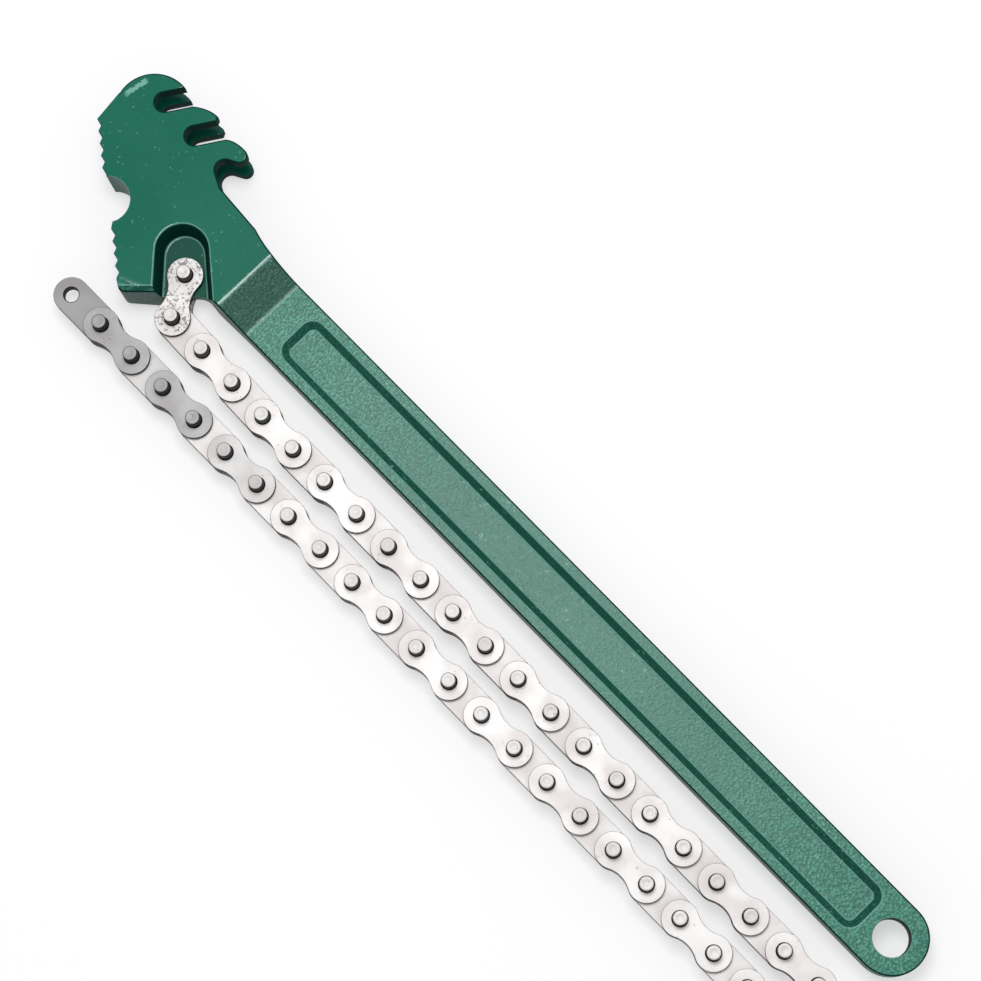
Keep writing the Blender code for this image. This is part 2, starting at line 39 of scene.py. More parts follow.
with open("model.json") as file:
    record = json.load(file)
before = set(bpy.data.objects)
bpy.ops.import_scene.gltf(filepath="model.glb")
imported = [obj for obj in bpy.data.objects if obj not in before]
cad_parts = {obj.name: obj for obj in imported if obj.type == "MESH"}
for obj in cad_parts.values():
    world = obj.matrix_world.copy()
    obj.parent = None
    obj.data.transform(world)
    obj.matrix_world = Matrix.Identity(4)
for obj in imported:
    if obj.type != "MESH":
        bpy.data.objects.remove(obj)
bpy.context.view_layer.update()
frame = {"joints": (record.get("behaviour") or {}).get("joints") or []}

# Forging, in metres, as the solids have it
OVERALL_LENGTH = 0.4072
HEAD_THICKNESS = 0.0208
HANDLE_WIDTH = 0.0254
HANDLE_THICKNESS = 0.0120
HANG_HOLE_DIAMETER = 0.0130
STEP_START = 0.0807
STEP_LENGTH = 0.0131
STEP_BEND = 0.0009
RECESS_RIM = 0.0036
RECESS_DEPTH = 0.0030
RECESS_DRAFT = 0.0027
RECESS_CORNER_RADIUS = 0.0050
RECESS_HEAD_MARGIN = 0.0115
RECESS_TAIL_MARGIN = 0.0040
DOME_RADIUS = 0.0140
DOME_HEIGHT = 0.0190
DOME_START = math.radians(195.0)
NOTCH_RADIUS = 0.0035
NOTCH_ANGLE = math.radians(57.0)
NOTCH_SPACING = 0.0164
FIRST_NOTCH = (0.0142, 0.0242)
NOTCH_LINE_SLOPE = math.radians(-3.0)
HOOK_TIP_HEIGHT = 0.0339
HOOK_BACK_HEIGHT = 0.0302
HOOK_LIP = 0.0016
BEAK_RISE = 0.00707
BEAK_TOP_BACK = 0.0004375
BEAK_ARC = (math.radians(80.0), math.radians(-60.0))
LAST_NOTCH_ARC = (math.radians(110.0), math.radians(240.0))
SLOT_WIDTH = 0.00992
SLOT_DOME_DEPTH = 0.0050
SLOT_BELOW_NOTCH = 0.007925
SLOT_CORNER = 0.0013
SLOT_END_REACH = 0.0105
TOOTH_PITCH = 0.00445
TOOTH_DEPTH = 0.0013
TEETH_PER_ROW = 5
JAW_ANGLE = math.radians(-37.0)
UPPER_ROW_START = (0.0020, 0.0031)
LOWER_ROW_START = (0.0346, -0.0204)
RELIEF_RADIUS = 0.0084
RELIEF_CENTRE = (0.0255, -0.0143)
RELIEF_ARC = (math.radians(-28.0), math.radians(137.0))
JAW_CORNER = (0.0531, -0.0330)
JAW_CORNER_CUT = 0.0013
JAW_BOTTOM_CHAMFER = 0.0018
JAW_CHAMFER_SPAN = (-0.0254, 0.0130)
JAW_BACK_ANGLE = math.radians(45.0)
JAW_BACK_FILLET = 0.0030
NECK_HEIGHT = 0.0168
NECK_KNEE = (0.0702, 0.0154)
NECK_CURVE_SHARE = 0.35
POCKET_RADIUS = 0.0094
POCKET_CENTRE = (0.0575, -0.0080)
POCKET_REACH = 0.02444
POCKET_DRAFT = 0.0022
POCKET_JAW_SIDE = math.radians(-46.5)
POCKET_HANDLE_SIDE = math.radians(-39.0)
ANCHOR_PIN = (0.0632, -0.0128)
TONGUE_THICKNESS = 0.00436

# Chain, in metres, as the solids have it
PLATE_THICKNESS = 0.00203
PLATE_HEIGHT = 0.0127
WAIST_SHARE = 0.68
PIN_DIAMETER = 0.00508
PIN_LENGTH = 0.0198
SEAM_WIDTH = 0.0003
FINE_SEAM_WIDTH = 0.00012
PLATE_GAP = 0.0003
OUTER_OFFSET = (SEAM_WIDTH + PLATE_THICKNESS * 3) / 2 + PLATE_GAP
LINK_COUNT = 44
DULLNESS = {39: 0.35, 41: 0.80, 42: 0.30, 43: 0.85, 44: 1.0}

# Places read from the frame
HINGES = [Vector(joint["pos_m"]) for joint in frame["joints"]]
MID_Z = HINGES[0].z
HOLE_AXIS = Vector((
    HINGES[0].x - ANCHOR_PIN[0] + OVERALL_LENGTH - HANDLE_WIDTH / 2,
    HINGES[0].y - ANCHOR_PIN[1],
))
HEAD_TIP_X = HOLE_AXIS.x + HANDLE_WIDTH / 2 - OVERALL_LENGTH
CHAIN_PITCH = (HINGES[1] - HINGES[0]).length
STEP_START_X = HEAD_TIP_X + STEP_START
STEP_END_X = STEP_START_X + STEP_LENGTH

# Camera and light, from the axis of the hanging hole and the floor
CAMERA_PLACE = Vector((-0.0273, -0.0938, 1.0940))
CAMERA_FORWARD = Vector((-0.15905, 0.09456, -0.9827))
CAMERA_UP = Vector((-0.70138, 0.68977, 0.1799))
SOFTBOX_PLACE = Vector((-0.33, 0.105, 1.2))
SOFTBOX_AIM = Vector((-0.17, 0.0, 0.0))

# Floor, a hair below the head's lower face
FLOOR_SIZE = 40.0
FLOOR_GAP = 0.0002

WHITE = (1.0, 1.0, 1.0)

# Light marks in the paint: painted highlight lines along the step and the jaw, and a light streak
# beside the dome's rim
STREAK_CENTRE = (0.0033, 0.0209)
STREAK_ANGLE = math.radians(80.0)
STREAK_LENGTH = 0.0105
STREAK_WIDTH = 0.0019
LINE_WIDTH = 0.0005
SOFT_LINE_WIDTH = 0.0010

# Camera's sensor and clipping distances
SENSOR_WIDTH = 36.0
CLIP_START, CLIP_END = 0.01, 20.0

# Finishes of the forging, in the order of its material slots
PLAIN, SHADED_WALL, LIT_WALL, LIT_RIM = range(4)

# Roughness and pitting of the plated pieces
OUTER_FINISH = (0.60, 0.45)
PIN_FINISH = (0.66, 0.6)
INNER_FINISH = (0.62, 0.35)
ANCHOR_FINISH = (0.60, 1.25)
ANCHOR_PIN_FINISH = (0.66, 0.8)

# Heights of a face's normal: upright below the first, a wall below the second, sloped below
# the third, level above the last
UPRIGHT_LEVEL = 0.1
WALL_LEVEL = 0.5
SLOPED_LEVEL = 0.9
FLAT_LEVEL = 0.99

# Walls turned at least this far to the camera's side are painted as lit
LIT_TURN = 0.9

# Metal left in front of the jaw until its teeth are cut
SPARE_METAL = 0.060

# How far the cutter of a hollow stands above the face, and how far that of a hole reaches
# past half the wall
MOUTH_HEIGHT = HEAD_THICKNESS * 0.1
HOLE_REACH = 1.5

# Share of a side that the rounding of its corner may take
CORNER_REACH = 0.4

# Stretch at each end of the relief's arc that keeps its sharp rim
ARC_END = math.radians(5.0)

# Vertices closer than this are one
MERGE_DISTANCE = 0.000004

# Corners sharper than this stay sharp in the shading
SMOOTH_ANGLE = math.radians(35.0)

# Ends of a pin: the bend of the chamfer, and the rim and floor of the hollow
CHAMFER_BEND = 0.3
DIMPLE_RIM = 0.55
DIMPLE_FLOOR = 0.45

# Facets of the curves and of the round holes
PLATE_FACET = math.radians(9.0)
PLATE_RIM = math.radians(60.0)
BACK_FACETS = 12
BEAK_FACETS = 10
NECK_FACETS = 16
SLOT_FACETS = 12
BEND_FACETS = 5
CORNER_FACETS = 4
TOOTH_FACETS = 3
WALL_FACETS = 4
HANG_HOLE_SIDES = 64
ANCHOR_HOLE_SIDES = 40


class ForgingSettings(bpy.types.PropertyGroup):
    """Finish of the forging's form."""

    edge_radius: FloatProperty(
        name="Edge radius", description="Rounding of the forging's outer edges",
        default=0.0007, min=0.0001, max=0.001, unit="LENGTH",
    )
    relief_radius: FloatProperty(
        name="Relief radius", description="Rounding of the jaw's relief",
        default=0.0005, min=0.0001, max=0.0008, unit="LENGTH",
    )
    pocket_radius: FloatProperty(
        name="Pocket radius", description="Rounding of the anchor pocket's rim and foot",
        default=0.0009, min=0.0001, max=0.001, unit="LENGTH",
    )
    hole_radius: FloatProperty(
        name="Hole radius", description="Rounding of the hanging hole's edges",
        default=0.0004, min=0.0001, max=0.001, unit="LENGTH",
    )
    tooth_radius: FloatProperty(
        name="Tooth radius", description="Rounding of the jaw's tooth tips and roots",
        default=0.0003, min=0.0001, max=0.0004, unit="LENGTH",
    )
    recess_lip: FloatProperty(
        name="Recess lip", description="Rounding where the handle's recess begins",
        default=0.0009, min=0.0001, max=0.001, unit="LENGTH",
    )
    recess_fillet: FloatProperty(
        name="Recess fillet", description="Rounding at the foot of the recess wall",
        default=0.0009, min=0.0001, max=0.001, unit="LENGTH",
    )
    facet_angle: FloatProperty(
        name="Facet angle", description="Turn of each facet of a round stretch",
        default=math.radians(6.0), min=math.radians(3.0), max=math.radians(15.0),
        subtype="ANGLE",
    )


class ChainSettings(bpy.types.PropertyGroup):
    """Finish of the chain's form."""

    plate_edge: FloatProperty(
        name="Plate edge", description="Rounding of a stamped plate's edges",
        default=0.00032, min=0.00005, max=0.0004, unit="LENGTH",
    )
    pin_chamfer: FloatProperty(
        name="Pin chamfer", description="Chamfer round the end of a pin",
        default=0.0005, min=0.0001, max=0.0008, unit="LENGTH",
    )
    pin_dimple: FloatProperty(
        name="Pin dimple", description="Depth of the hollow in the end of a pin",
        default=0.00012, min=0.0, max=0.0003, unit="LENGTH",
    )
    pin_sides: IntProperty(
        name="Pin sides", description="Facets round a pin",
        default=40, min=16, max=64,
    )


class FinishSettings(bpy.types.PropertyGroup):
    """Colours and textures."""

    paint: FloatVectorProperty(
        name="Paint", description="Colour of the enamel", subtype="COLOR",
        size=3, default=(0.001, 0.138, 0.086), min=0.0, max=1.0,
    )
    # Painted highlight: the pale green of the lit pebble crests and lit walls, also mixed in faintly
    # at random as mottle
    paint_highlight_and_mottle: FloatVectorProperty(
        name="Highlight paint", description="Colour of the enamel where it lies thin",
        subtype="COLOR", size=3, default=(0.070, 0.330, 0.235), min=0.0, max=1.0,
    )
    # Pale green: painted highlights on the rims, the lines and the relief's rim, and the colour of
    # chips in the paint
    paint_highlight_and_chips: FloatVectorProperty(
        name="Pale paint", description="Colour of the enamel on edges and in streaks",
        subtype="COLOR", size=3, default=(0.200, 0.480, 0.390), min=0.0, max=1.0,
    )
    # Painted shade: the dark green that walls, outer rounded edges, the step's slope and hollows
    # take in place of shading
    paint_shade: FloatVectorProperty(
        name="Shaded paint", description="Colour of the enamel in corners and on walls",
        subtype="COLOR", size=3, default=(0.002, 0.034, 0.024), min=0.0, max=1.0,
    )
    peel_size: FloatProperty(
        name="Orange peel size", description="Width of the enamel's pebbles",
        default=0.0009, min=0.0003, max=0.003, unit="LENGTH",
    )
    peel_height: FloatProperty(
        name="Orange peel height", description="Height of the enamel's pebbles",
        default=0.0001, min=0.0, max=0.0003, unit="LENGTH",
    )
    plating: FloatVectorProperty(
        name="Plating", description="Colour of the plated steel", subtype="COLOR",
        size=3, default=(0.77, 0.755, 0.745), min=0.0, max=1.0,
    )
    dull_plating: FloatVectorProperty(
        name="Dull plating", description="Colour of the links at the free end",
        subtype="COLOR", size=3, default=(0.36, 0.36, 0.365), min=0.0, max=1.0,
    )


class StudioSettings(bpy.types.PropertyGroup):
    """Floor, lamps and camera."""

    lens: FloatProperty(
        name="Lens", description="Focal length", default=117.72, min=20.0, max=300.0,
        unit="CAMERA",
    )
    softbox_power: FloatProperty(
        name="Softbox power", description="Power of the overhead softbox",
        default=7.1, min=0.0, max=200.0, unit="POWER",
    )
    softbox_size: FloatProperty(
        name="Softbox size", description="Width of the overhead softbox",
        default=0.4, min=0.05, max=3.0, unit="LENGTH",
    )
    fill_level: FloatProperty(
        name="Fill", description="Level of the light from all round",
        default=0.5, min=0.0, max=2.0,
    )
    floor_color: FloatVectorProperty(
        name="Floor", description="Colour of the floor", subtype="COLOR",
        size=3, default=(0.50, 0.497, 0.51), min=0.0, max=1.0,
    )
    floor_glow: FloatProperty(
        name="Floor glow", description="Share of the floor's white that no shadow takes away",
        default=0.54, min=0.0, max=1.0,
    )


# Work on one object at a time

def work_on(obj=None):
    """Leave edit mode and select one object, or nothing."""
    if bpy.context.mode != "OBJECT":
        bpy.ops.object.mode_set(mode="OBJECT")
    bpy.ops.object.select_all(action="DESELECT")
    if obj:
        obj.select_set(True)
        bpy.context.view_layer.objects.active = obj


def edit(obj, kind="VERT"):
    """Open an object in edit mode with everything selected."""
    work_on(obj)
    bpy.ops.object.mode_set(mode="EDIT")
    bpy.ops.mesh.select_mode(type=kind)
    bpy.ops.mesh.select_all(action="SELECT")


def choose(kind, test):
    """In edit mode, select only the vertices, edges or faces that pass a test."""
    obj = bpy.context.edit_object
    bpy.ops.mesh.select_mode(type=kind)
    bpy.ops.mesh.select_all(action="DESELECT")
    bm = bmesh.from_edit_mesh(obj.data)
    bm.normal_update()
    found = {"VERT": bm.verts, "EDGE": bm.edges, "FACE": bm.faces}[kind]
    for element in found:
        if test(element):
            element.select_set(True)
    bm.select_flush_mode()
    bmesh.update_edit_mesh(obj.data)


def extrude(vector):
    """Extrude what is selected."""
    bpy.ops.mesh.extrude_region_move(TRANSFORM_OT_translate={"value": tuple(vector)})


def draw_chain(name, points):
    """One vertex extruded from point to point."""
    work_on()
    bpy.ops.mesh.primitive_plane_add(size=0.001, location=points[0])
    obj = bpy.context.object
    obj.name = name
    bpy.ops.object.transform_apply(location=True, rotation=True, scale=True)
    edit(obj)
    bpy.ops.mesh.merge(type="CENTER")
    for start, end in zip(points, points[1:]):
        extrude(end - start)
    return obj


def close_solid():
    """Turn every face outwards and leave edit mode."""
    bpy.ops.mesh.select_all(action="SELECT")
    bpy.ops.mesh.normals_make_consistent(inside=False)
    bpy.ops.object.mode_set(mode="OBJECT")


def fill_and_extrude(vector):
    """Fill the loop that is being drawn and extrude it into a solid."""
    bpy.ops.mesh.select_all(action="SELECT")
    bpy.ops.mesh.remove_doubles(threshold=MERGE_DISTANCE)
    bpy.ops.mesh.edge_face_add()
    extrude(vector)
    close_solid()


def draw_plate(name, outline, low, high):
    """An outline drawn flat, filled and extruded to a thickness."""
    points = [Vector((p.x, p.y, low)) for p in outline]
    obj = draw_chain(name, points + points[:1])
    fill_and_extrude((0.0, 0.0, high - low))
    return obj


def turn_profile(name, profile, centre, sides):
    """A profile of (radius, height) drawn at a centre and spun into a closed solid."""
    start = [Vector((centre.x + radius, centre.y, height)) for radius, height in profile]
    obj = draw_chain(name, start)
    bpy.ops.mesh.select_all(action="SELECT")
    bpy.ops.mesh.spin(
        steps=sides, angle=math.tau, center=(centre.x, centre.y, 0.0), axis=(0.0, 0.0, 1.0)
    )
    bpy.ops.mesh.select_all(action="SELECT")
    bpy.ops.mesh.remove_doubles(threshold=MERGE_DISTANCE)
    close_solid()
    return obj


def carve(obj, cutter):
    """Cut one solid out of another, clear the slivers away and delete the cutter."""
    work_on(obj)
    cut = obj.modifiers.new("carve", "BOOLEAN")
    cut.operation = "DIFFERENCE"
    cut.solver = "EXACT"
    cut.object = cutter
    bpy.ops.object.modifier_apply(modifier=cut.name)
    bpy.data.objects.remove(cutter, do_unlink=True)
    edit(obj)
    bpy.ops.mesh.remove_doubles(threshold=MERGE_DISTANCE)
    bpy.ops.mesh.dissolve_degenerate(threshold=MERGE_DISTANCE)
    bpy.ops.object.mode_set(mode="OBJECT")


def split_faces(obj):
    """Split an object's faces into triangles, which later cuts leave closed."""
    edit(obj, "FACE")
    bpy.ops.mesh.select_all(action="SELECT")
    bpy.ops.mesh.quads_convert_to_tris()
    bpy.ops.object.mode_set(mode="OBJECT")


def smooth(obj):
    """Shade an object smooth, with its flat faces kept flat and its sharp corners sharp."""
    work_on(obj)
    bpy.ops.object.shade_smooth_by_angle(angle=SMOOTH_ANGLE)
    even = obj.modifiers.new("even_normals", "WEIGHTED_NORMAL")
    even.keep_sharp = True
    even.weight = 100
    bpy.ops.object.modifier_apply(modifier=even.name)


def paint_with(obj, material):
    """Give an object one material."""
    obj.data.materials.clear()
    obj.data.materials.append(material)


# Outlines

def on_head(place):
    """A place on the head, from (distance from the tip, distance from the axis)."""
    return Vector((HEAD_TIP_X + place[0], HOLE_AXIS.y + place[1]))


def along(angle, distance=1.0):
    """The vector of a length at an angle."""
    return Vector((math.cos(angle), math.sin(angle))) * distance


def arc(centre, radius, start, end, step):
    """Points on an arc, with both ends, turning from the start angle to the end angle."""
    count = max(2, math.ceil(abs(end - start) / step))
    turn = (end - start) / count
    return [centre + along(start + turn * i, radius) for i in range(count + 1)]


def curve_between(start, control, end, steps):
    """Points of a quadratic curve, with both ends."""
    points = []
    for i in range(steps + 1):
        t = i / steps
        points.append(start * (1 - t) ** 2 + control * (2 * t * (1 - t)) + end * t**2)
    return points


def round_corners(points, radius, steps):
    """The inner points of an open outline, each turned into a short arc."""
    rounded = [points[0]]
    for before, corner, after in zip(points, points[1:], points[2:]):
        back = (before - corner).normalized()
        ahead = (after - corner).normalized()
        half = back.angle(ahead) / 2
        reach = min(radius / math.tan(half), (before - corner).length * CORNER_REACH)
        rounded += curve_between(corner + back * reach, corner, corner + ahead * reach, steps)
    return rounded + [points[-1]]


def tooth_row(start, ends_in_root):
    """Tips and roots of a row of teeth, in order down the jaw."""
    down = along(JAW_ANGLE)
    inward = along(JAW_ANGLE + math.pi / 2)
    points = []
    for i in range(TEETH_PER_ROW):
        tip = on_head(start) + down * TOOTH_PITCH * i
        points.append(tip)
        if i < TEETH_PER_ROW - 1 or ends_in_root:
            points.append(tip + down * TOOTH_PITCH / 2 + inward * TOOTH_DEPTH)
    return points


def notch_centre(index):
    """Centre of the round end of a hook notch."""
    return on_head(FIRST_NOTCH) + along(NOTCH_LINE_SLOPE, NOTCH_SPACING * index)


def dome_outline(step):
    """The dome from the first tooth round to the lip of the first hook."""
    centre = on_head((DOME_RADIUS, DOME_HEIGHT))
    side = notch_centre(0) + along(NOTCH_ANGLE + math.pi / 2, NOTCH_RADIUS)
    run = side - centre
    out = along(NOTCH_ANGLE)
    half = run.dot(out)
    reach = -half + math.sqrt(half**2 - run.length_squared + DOME_RADIUS**2)
    lip = side + out * reach - centre
    return arc(centre, DOME_RADIUS, DOME_START, math.atan2(lip.y, lip.x), step)


def notch_outline(index, height, step):
    """A notch from its upper side, round its end, to its lower side at a height."""
    centre = notch_centre(index)
    first = NOTCH_ANGLE + math.pi / 2
    points = arc(centre, NOTCH_RADIUS, first, first + math.pi, step * 2)
    out = along(NOTCH_ANGLE)
    points.append(points[-1] + out * (HOLE_AXIS.y + height - points[-1].y) / out.y)
    return points


def hook_back(start, index):
    """The back of a hook, from the notch behind it to its lip over its own notch."""
    side = notch_centre(index) + along(NOTCH_ANGLE + math.pi / 2, NOTCH_RADIUS)
    out = along(NOTCH_ANGLE)
    tip_y = HOLE_AXIS.y + HOOK_TIP_HEIGHT
    under_lip = side + out * (tip_y - HOOK_LIP - side.y) / out.y
    tip = Vector((under_lip.x - HOOK_LIP / 2, tip_y))
    shoulder = Vector(((start.x + tip.x) / 2, tip_y))
    return curve_between(start, shoulder, tip, BACK_FACETS)[1:] + [under_lip]


def last_hook(start, step):
    """The beak of the last hook and the open notch under it."""
    centre = notch_centre(2)
    top = Vector((centre.x - BEAK_TOP_BACK, HOLE_AXIS.y + HOOK_TIP_HEIGHT - HOOK_LIP))
    shoulder = Vector(((start.x * 2 + top.x) / 3, top.y))
    points = curve_between(start, shoulder, top, BEAK_FACETS)[1:]
    beak = centre + Vector((0.0, BEAK_RISE))
    radius = top.y - beak.y
    points += arc(beak, radius, *BEAK_ARC, step * 2)
    points += arc(centre, NOTCH_RADIUS, *LAST_NOTCH_ARC, step * 2)
    return points


def neck_outline():
    """The concave neck from the last notch to the handle's upper edge."""
    start = Vector((notch_centre(2).x + NOTCH_RADIUS, HOLE_AXIS.y + NECK_HEIGHT))
    knee = on_head(NECK_KNEE)
    handle = Vector((STEP_END_X, HOLE_AXIS.y + HANDLE_WIDTH / 2))
    control = Vector((knee.x + (handle.x - knee.x) * NECK_CURVE_SHARE, handle.y))
    return [start] + curve_between(knee, control, handle, NECK_FACETS)


def jaw_bottom():
    """Handle's lower edge to the jaw's bottom edge and its rounded corner."""
    corner = on_head(JAW_CORNER)
    slope = along(JAW_BACK_ANGLE)
    meet = corner + slope * (HOLE_AXIS.y - HANDLE_WIDTH / 2 - corner.y) / slope.y
    from_handle = Vector((meet.x + JAW_BACK_FILLET, meet.y))
    bend = curve_between(from_handle, meet, meet - slope * JAW_BACK_FILLET, BEND_FACETS)
    up = corner + slope * JAW_CORNER_CUT
    left = corner - Vector((JAW_CORNER_CUT, 0.0))
    return bend + curve_between(up, corner, left, CORNER_FACETS)


def smooth_outline(step):
    """The outline from the dome round the hooks, the neck, the tail and the jaw's bottom."""
    first = notch_outline(0, HOOK_BACK_HEIGHT, step)
    second_hook = hook_back(first[-1], 1)
    second = notch_outline(1, HOOK_BACK_HEIGHT, step)
    beak = last_hook(second[-1], step)
    tail = arc(HOLE_AXIS, HANDLE_WIDTH / 2, math.pi / 2, -math.pi / 2, step)
    hooks = first + second_hook + second + beak
    return dome_outline(step) + hooks + neck_outline() + tail + jaw_bottom()


def blank_outline(step):
    """The smooth outline, with metal to spare in front of the jaw."""
    points = smooth_outline(step)
    spare = Vector((-SPARE_METAL, 0.0))
    return points + [points[-1] + spare, points[0] + spare - Vector((0.0, TOOTH_PITCH))]


def link_outline(radius, waist_share, step):
    """Outline of a chain plate with its first pin at the origin and its second along +X."""
    waist = PLATE_HEIGHT / 2 * waist_share
    half = CHAIN_PITCH / 2
    near = Vector((0.0, 0.0))
    far = Vector((CHAIN_PITCH, 0.0))
    if waist_share == 1.0:
        right = math.pi / 2
        points = arc(near, radius, right, 3 * right, step)
        return points + arc(far, radius, -right, right, step)
    hollow = (half**2 + waist**2 - radius**2) / (2 * (radius - waist))
    opening = math.atan2(waist + hollow, half)
    top = Vector((half, waist + hollow))
    bottom = Vector((half, -waist - hollow))
    points = arc(near, radius, opening, math.tau - opening, step)
    points += arc(bottom, hollow, math.pi - opening, opening, step)[1:-1]
    points += arc(far, radius, opening - math.pi, math.pi - opening, step)
    points += arc(top, hollow, -opening, opening - math.pi, step)[1:-1]
    return points


# Parts of the forging

def wall_profile(depth, slope, lip, fillet):
    """Steps of (inward, deeper) from a face, over a rounded lip, down a wall to a fillet."""
    turns = [slope * i / WALL_FACETS for i in range(WALL_FACETS + 1)]
    bend = [
        (math.sin(b) - math.sin(a), math.cos(a) - math.cos(b)) for a, b in zip(turns, turns[1:])
    ]
    straight = (depth - (lip + fillet) * (1 - math.cos(slope))) / math.sin(slope)
    wall = [(straight * math.cos(slope), straight * math.sin(slope))]
    over = [(lip * inward, lip * deeper) for inward, deeper in bend]
    return over + wall + [(fillet * inward, fillet * deeper) for inward, deeper in bend[::-1]]


def sunk_cutter(name, outline, face_z, side, steps):
    """A cutter for a hollow: its mouth on a face, its walls inset step by step."""
    above = MOUTH_HEIGHT * side
    obj = draw_plate(name, outline, face_z + above, face_z)
    edit(obj, "FACE")
    bpy.ops.mesh.normals_make_consistent(inside=False)
    choose("FACE", lambda face: face.normal.z * side < -SLOPED_LEVEL)
    for inward, deeper in steps:
        bpy.ops.mesh.inset(thickness=inward, depth=deeper, use_even_offset=True)
    bpy.ops.object.mode_set(mode="OBJECT")
    return obj


def recess_outline(grow, step):
    """The mouth of the handle's recess."""
    half_width = HANDLE_WIDTH / 2 - RECESS_RIM + grow
    radius = RECESS_CORNER_RADIUS + grow
    low = STEP_END_X + RECESS_HEAD_MARGIN - grow
    high = HOLE_AXIS.x - HANG_HOLE_DIAMETER / 2 - RECESS_TAIL_MARGIN + grow
    points = []
    for quarter, x, y in (
        (0, high - radius, half_width - radius),
        (1, low + radius, half_width - radius),
        (2, low + radius, radius - half_width),
        (3, high - radius, radius - half_width),
    ):
        centre = Vector((x, HOLE_AXIS.y + y))
        first = quarter * math.pi / 2
        points += arc(centre, radius, first, first + math.pi / 2, step * 1.5)
    return points


def pocket_outline(grow, step):
    """The mouth of the head's pocket, open past the bottom of the head."""
    centre = on_head(POCKET_CENTRE)
    radius = POCKET_RADIUS + grow
    jaw_side = POCKET_JAW_SIDE - math.pi / 2
    handle_side = POCKET_HANDLE_SIDE + math.pi / 2
    arch = arc(centre, radius, jaw_side + math.tau, handle_side, step)
    left = arch[0] + along(POCKET_JAW_SIDE, POCKET_REACH)
    right = arch[-1] + along(POCKET_HANDLE_SIDE, POCKET_REACH)
    return [left] + arch + [right]


def step_cutter(side):
    """Wedge that thins the forging from the head to the handle, with rounded bends."""
    thinner = (HEAD_THICKNESS - HANDLE_THICKNESS) / 2
    face = HEAD_THICKNESS / 2
    start = Vector((STEP_START_X, face))
    end = Vector((STEP_END_X, face - thinner))
    run = (end - start).normalized() * STEP_BEND
    flat = Vector((STEP_BEND, 0.0))
    profile = [Vector((STEP_START_X - STEP_BEND, face * 2))]
    profile += curve_between(start - flat, start, start + run, BEND_FACETS)
    profile += curve_between(end - run, end, end + flat, BEND_FACETS)
    profile.append(Vector((HOLE_AXIS.x + HANDLE_WIDTH, end.y)))
    profile.append(Vector((HOLE_AXIS.x + HANDLE_WIDTH, face * 2)))
    y = HOLE_AXIS.y - HANDLE_WIDTH
    points = [Vector((p.x, y, MID_Z + side * p.y)) for p in profile]
    obj = draw_chain("step_cutter", points + points[:1])
    fill_and_extrude((0.0, HANDLE_WIDTH * 2, 0.0))
    return obj


def slot_outline():
    """Side view of the slot round the dome and through the hooks."""
    dome = on_head((DOME_RADIUS, DOME_HEIGHT))
    first = notch_centre(0)
    last = notch_centre(2)
    left = HEAD_TIP_X - DOME_RADIUS
    top = HOLE_AXIS.y + HOOK_TIP_HEIGHT + DOME_RADIUS
    tooth_y = on_head(UPPER_ROW_START).y
    inner_x = dome.x - DOME_RADIUS + SLOT_DOME_DEPTH
    corner = Vector((inner_x, first.y - SLOT_BELOW_NOTCH))
    end_x = last.x + SLOT_END_REACH
    points = [
        Vector((left, tooth_y - SLOT_CORNER)),
        Vector((inner_x - SLOT_CORNER, tooth_y - SLOT_CORNER)),
    ]
    down = Vector((inner_x, tooth_y + SLOT_CORNER))
    points += curve_between(down, corner, Vector((first.x, corner.y)), SLOT_FACETS)
    points.append(Vector((last.x, last.y - SLOT_BELOW_NOTCH)))
    points.append(Vector((end_x, HOLE_AXIS.y + NECK_HEIGHT + SLOT_CORNER)))
    points.append(Vector((end_x, top)))
    points.append(Vector((left, top)))
    return points


def jaw_cutter(step, tooth_radius):
    """All that lies in front of the jaw: two rows of teeth with the relief between them."""
    smooth_part = smooth_outline(step)
    top = smooth_part[0]
    bottom = smooth_part[-1]
    relief = arc(on_head(RELIEF_CENTRE), RELIEF_RADIUS, *RELIEF_ARC, step)
    upper = [top] + tooth_row(UPPER_ROW_START, True) + [relief[-1]]
    lower = [relief[0]] + tooth_row(LOWER_ROW_START, False) + [bottom]
    points = round_corners(upper, tooth_radius, TOOTH_FACETS)[:-1] + relief[::-1]
    points += round_corners(lower, tooth_radius, TOOTH_FACETS)[1:]
    aside = Vector((-SPARE_METAL * 2, 0.0))
    over = Vector((0.0, TOOTH_PITCH))
    points += [bottom - over, bottom - over + aside, top + over + aside]
    return draw_plate("jaw_cutter", points, MID_Z - HEAD_THICKNESS, MID_Z + HEAD_THICKNESS)


def jaw_chamfer_cutter(side):
    """Wedge along the jaw's bottom edge on one face."""
    corner = on_head(JAW_CORNER)
    face_z = MID_Z + side * HEAD_THICKNESS / 2
    inward = along(JAW_BACK_ANGLE + math.pi / 2, JAW_BOTTOM_CHAMFER)
    run = along(JAW_BACK_ANGLE)
    base = corner + run * JAW_CHAMFER_SPAN[0]
    ring = [
        (base + inward * 2, face_z + side * JAW_BOTTOM_CHAMFER),
        (base - inward, face_z - side * JAW_BOTTOM_CHAMFER * 2),
        (base - inward * 3, face_z + side * JAW_BOTTOM_CHAMFER),
    ]
    points = [Vector((p.x, p.y, z)) for p, z in ring]
    obj = draw_chain("jaw_chamfer_cutter", points + points[:1])
    reach = run * (JAW_CHAMFER_SPAN[1] - JAW_CHAMFER_SPAN[0])
    fill_and_extrude((reach.x, reach.y, 0.0))
    return obj


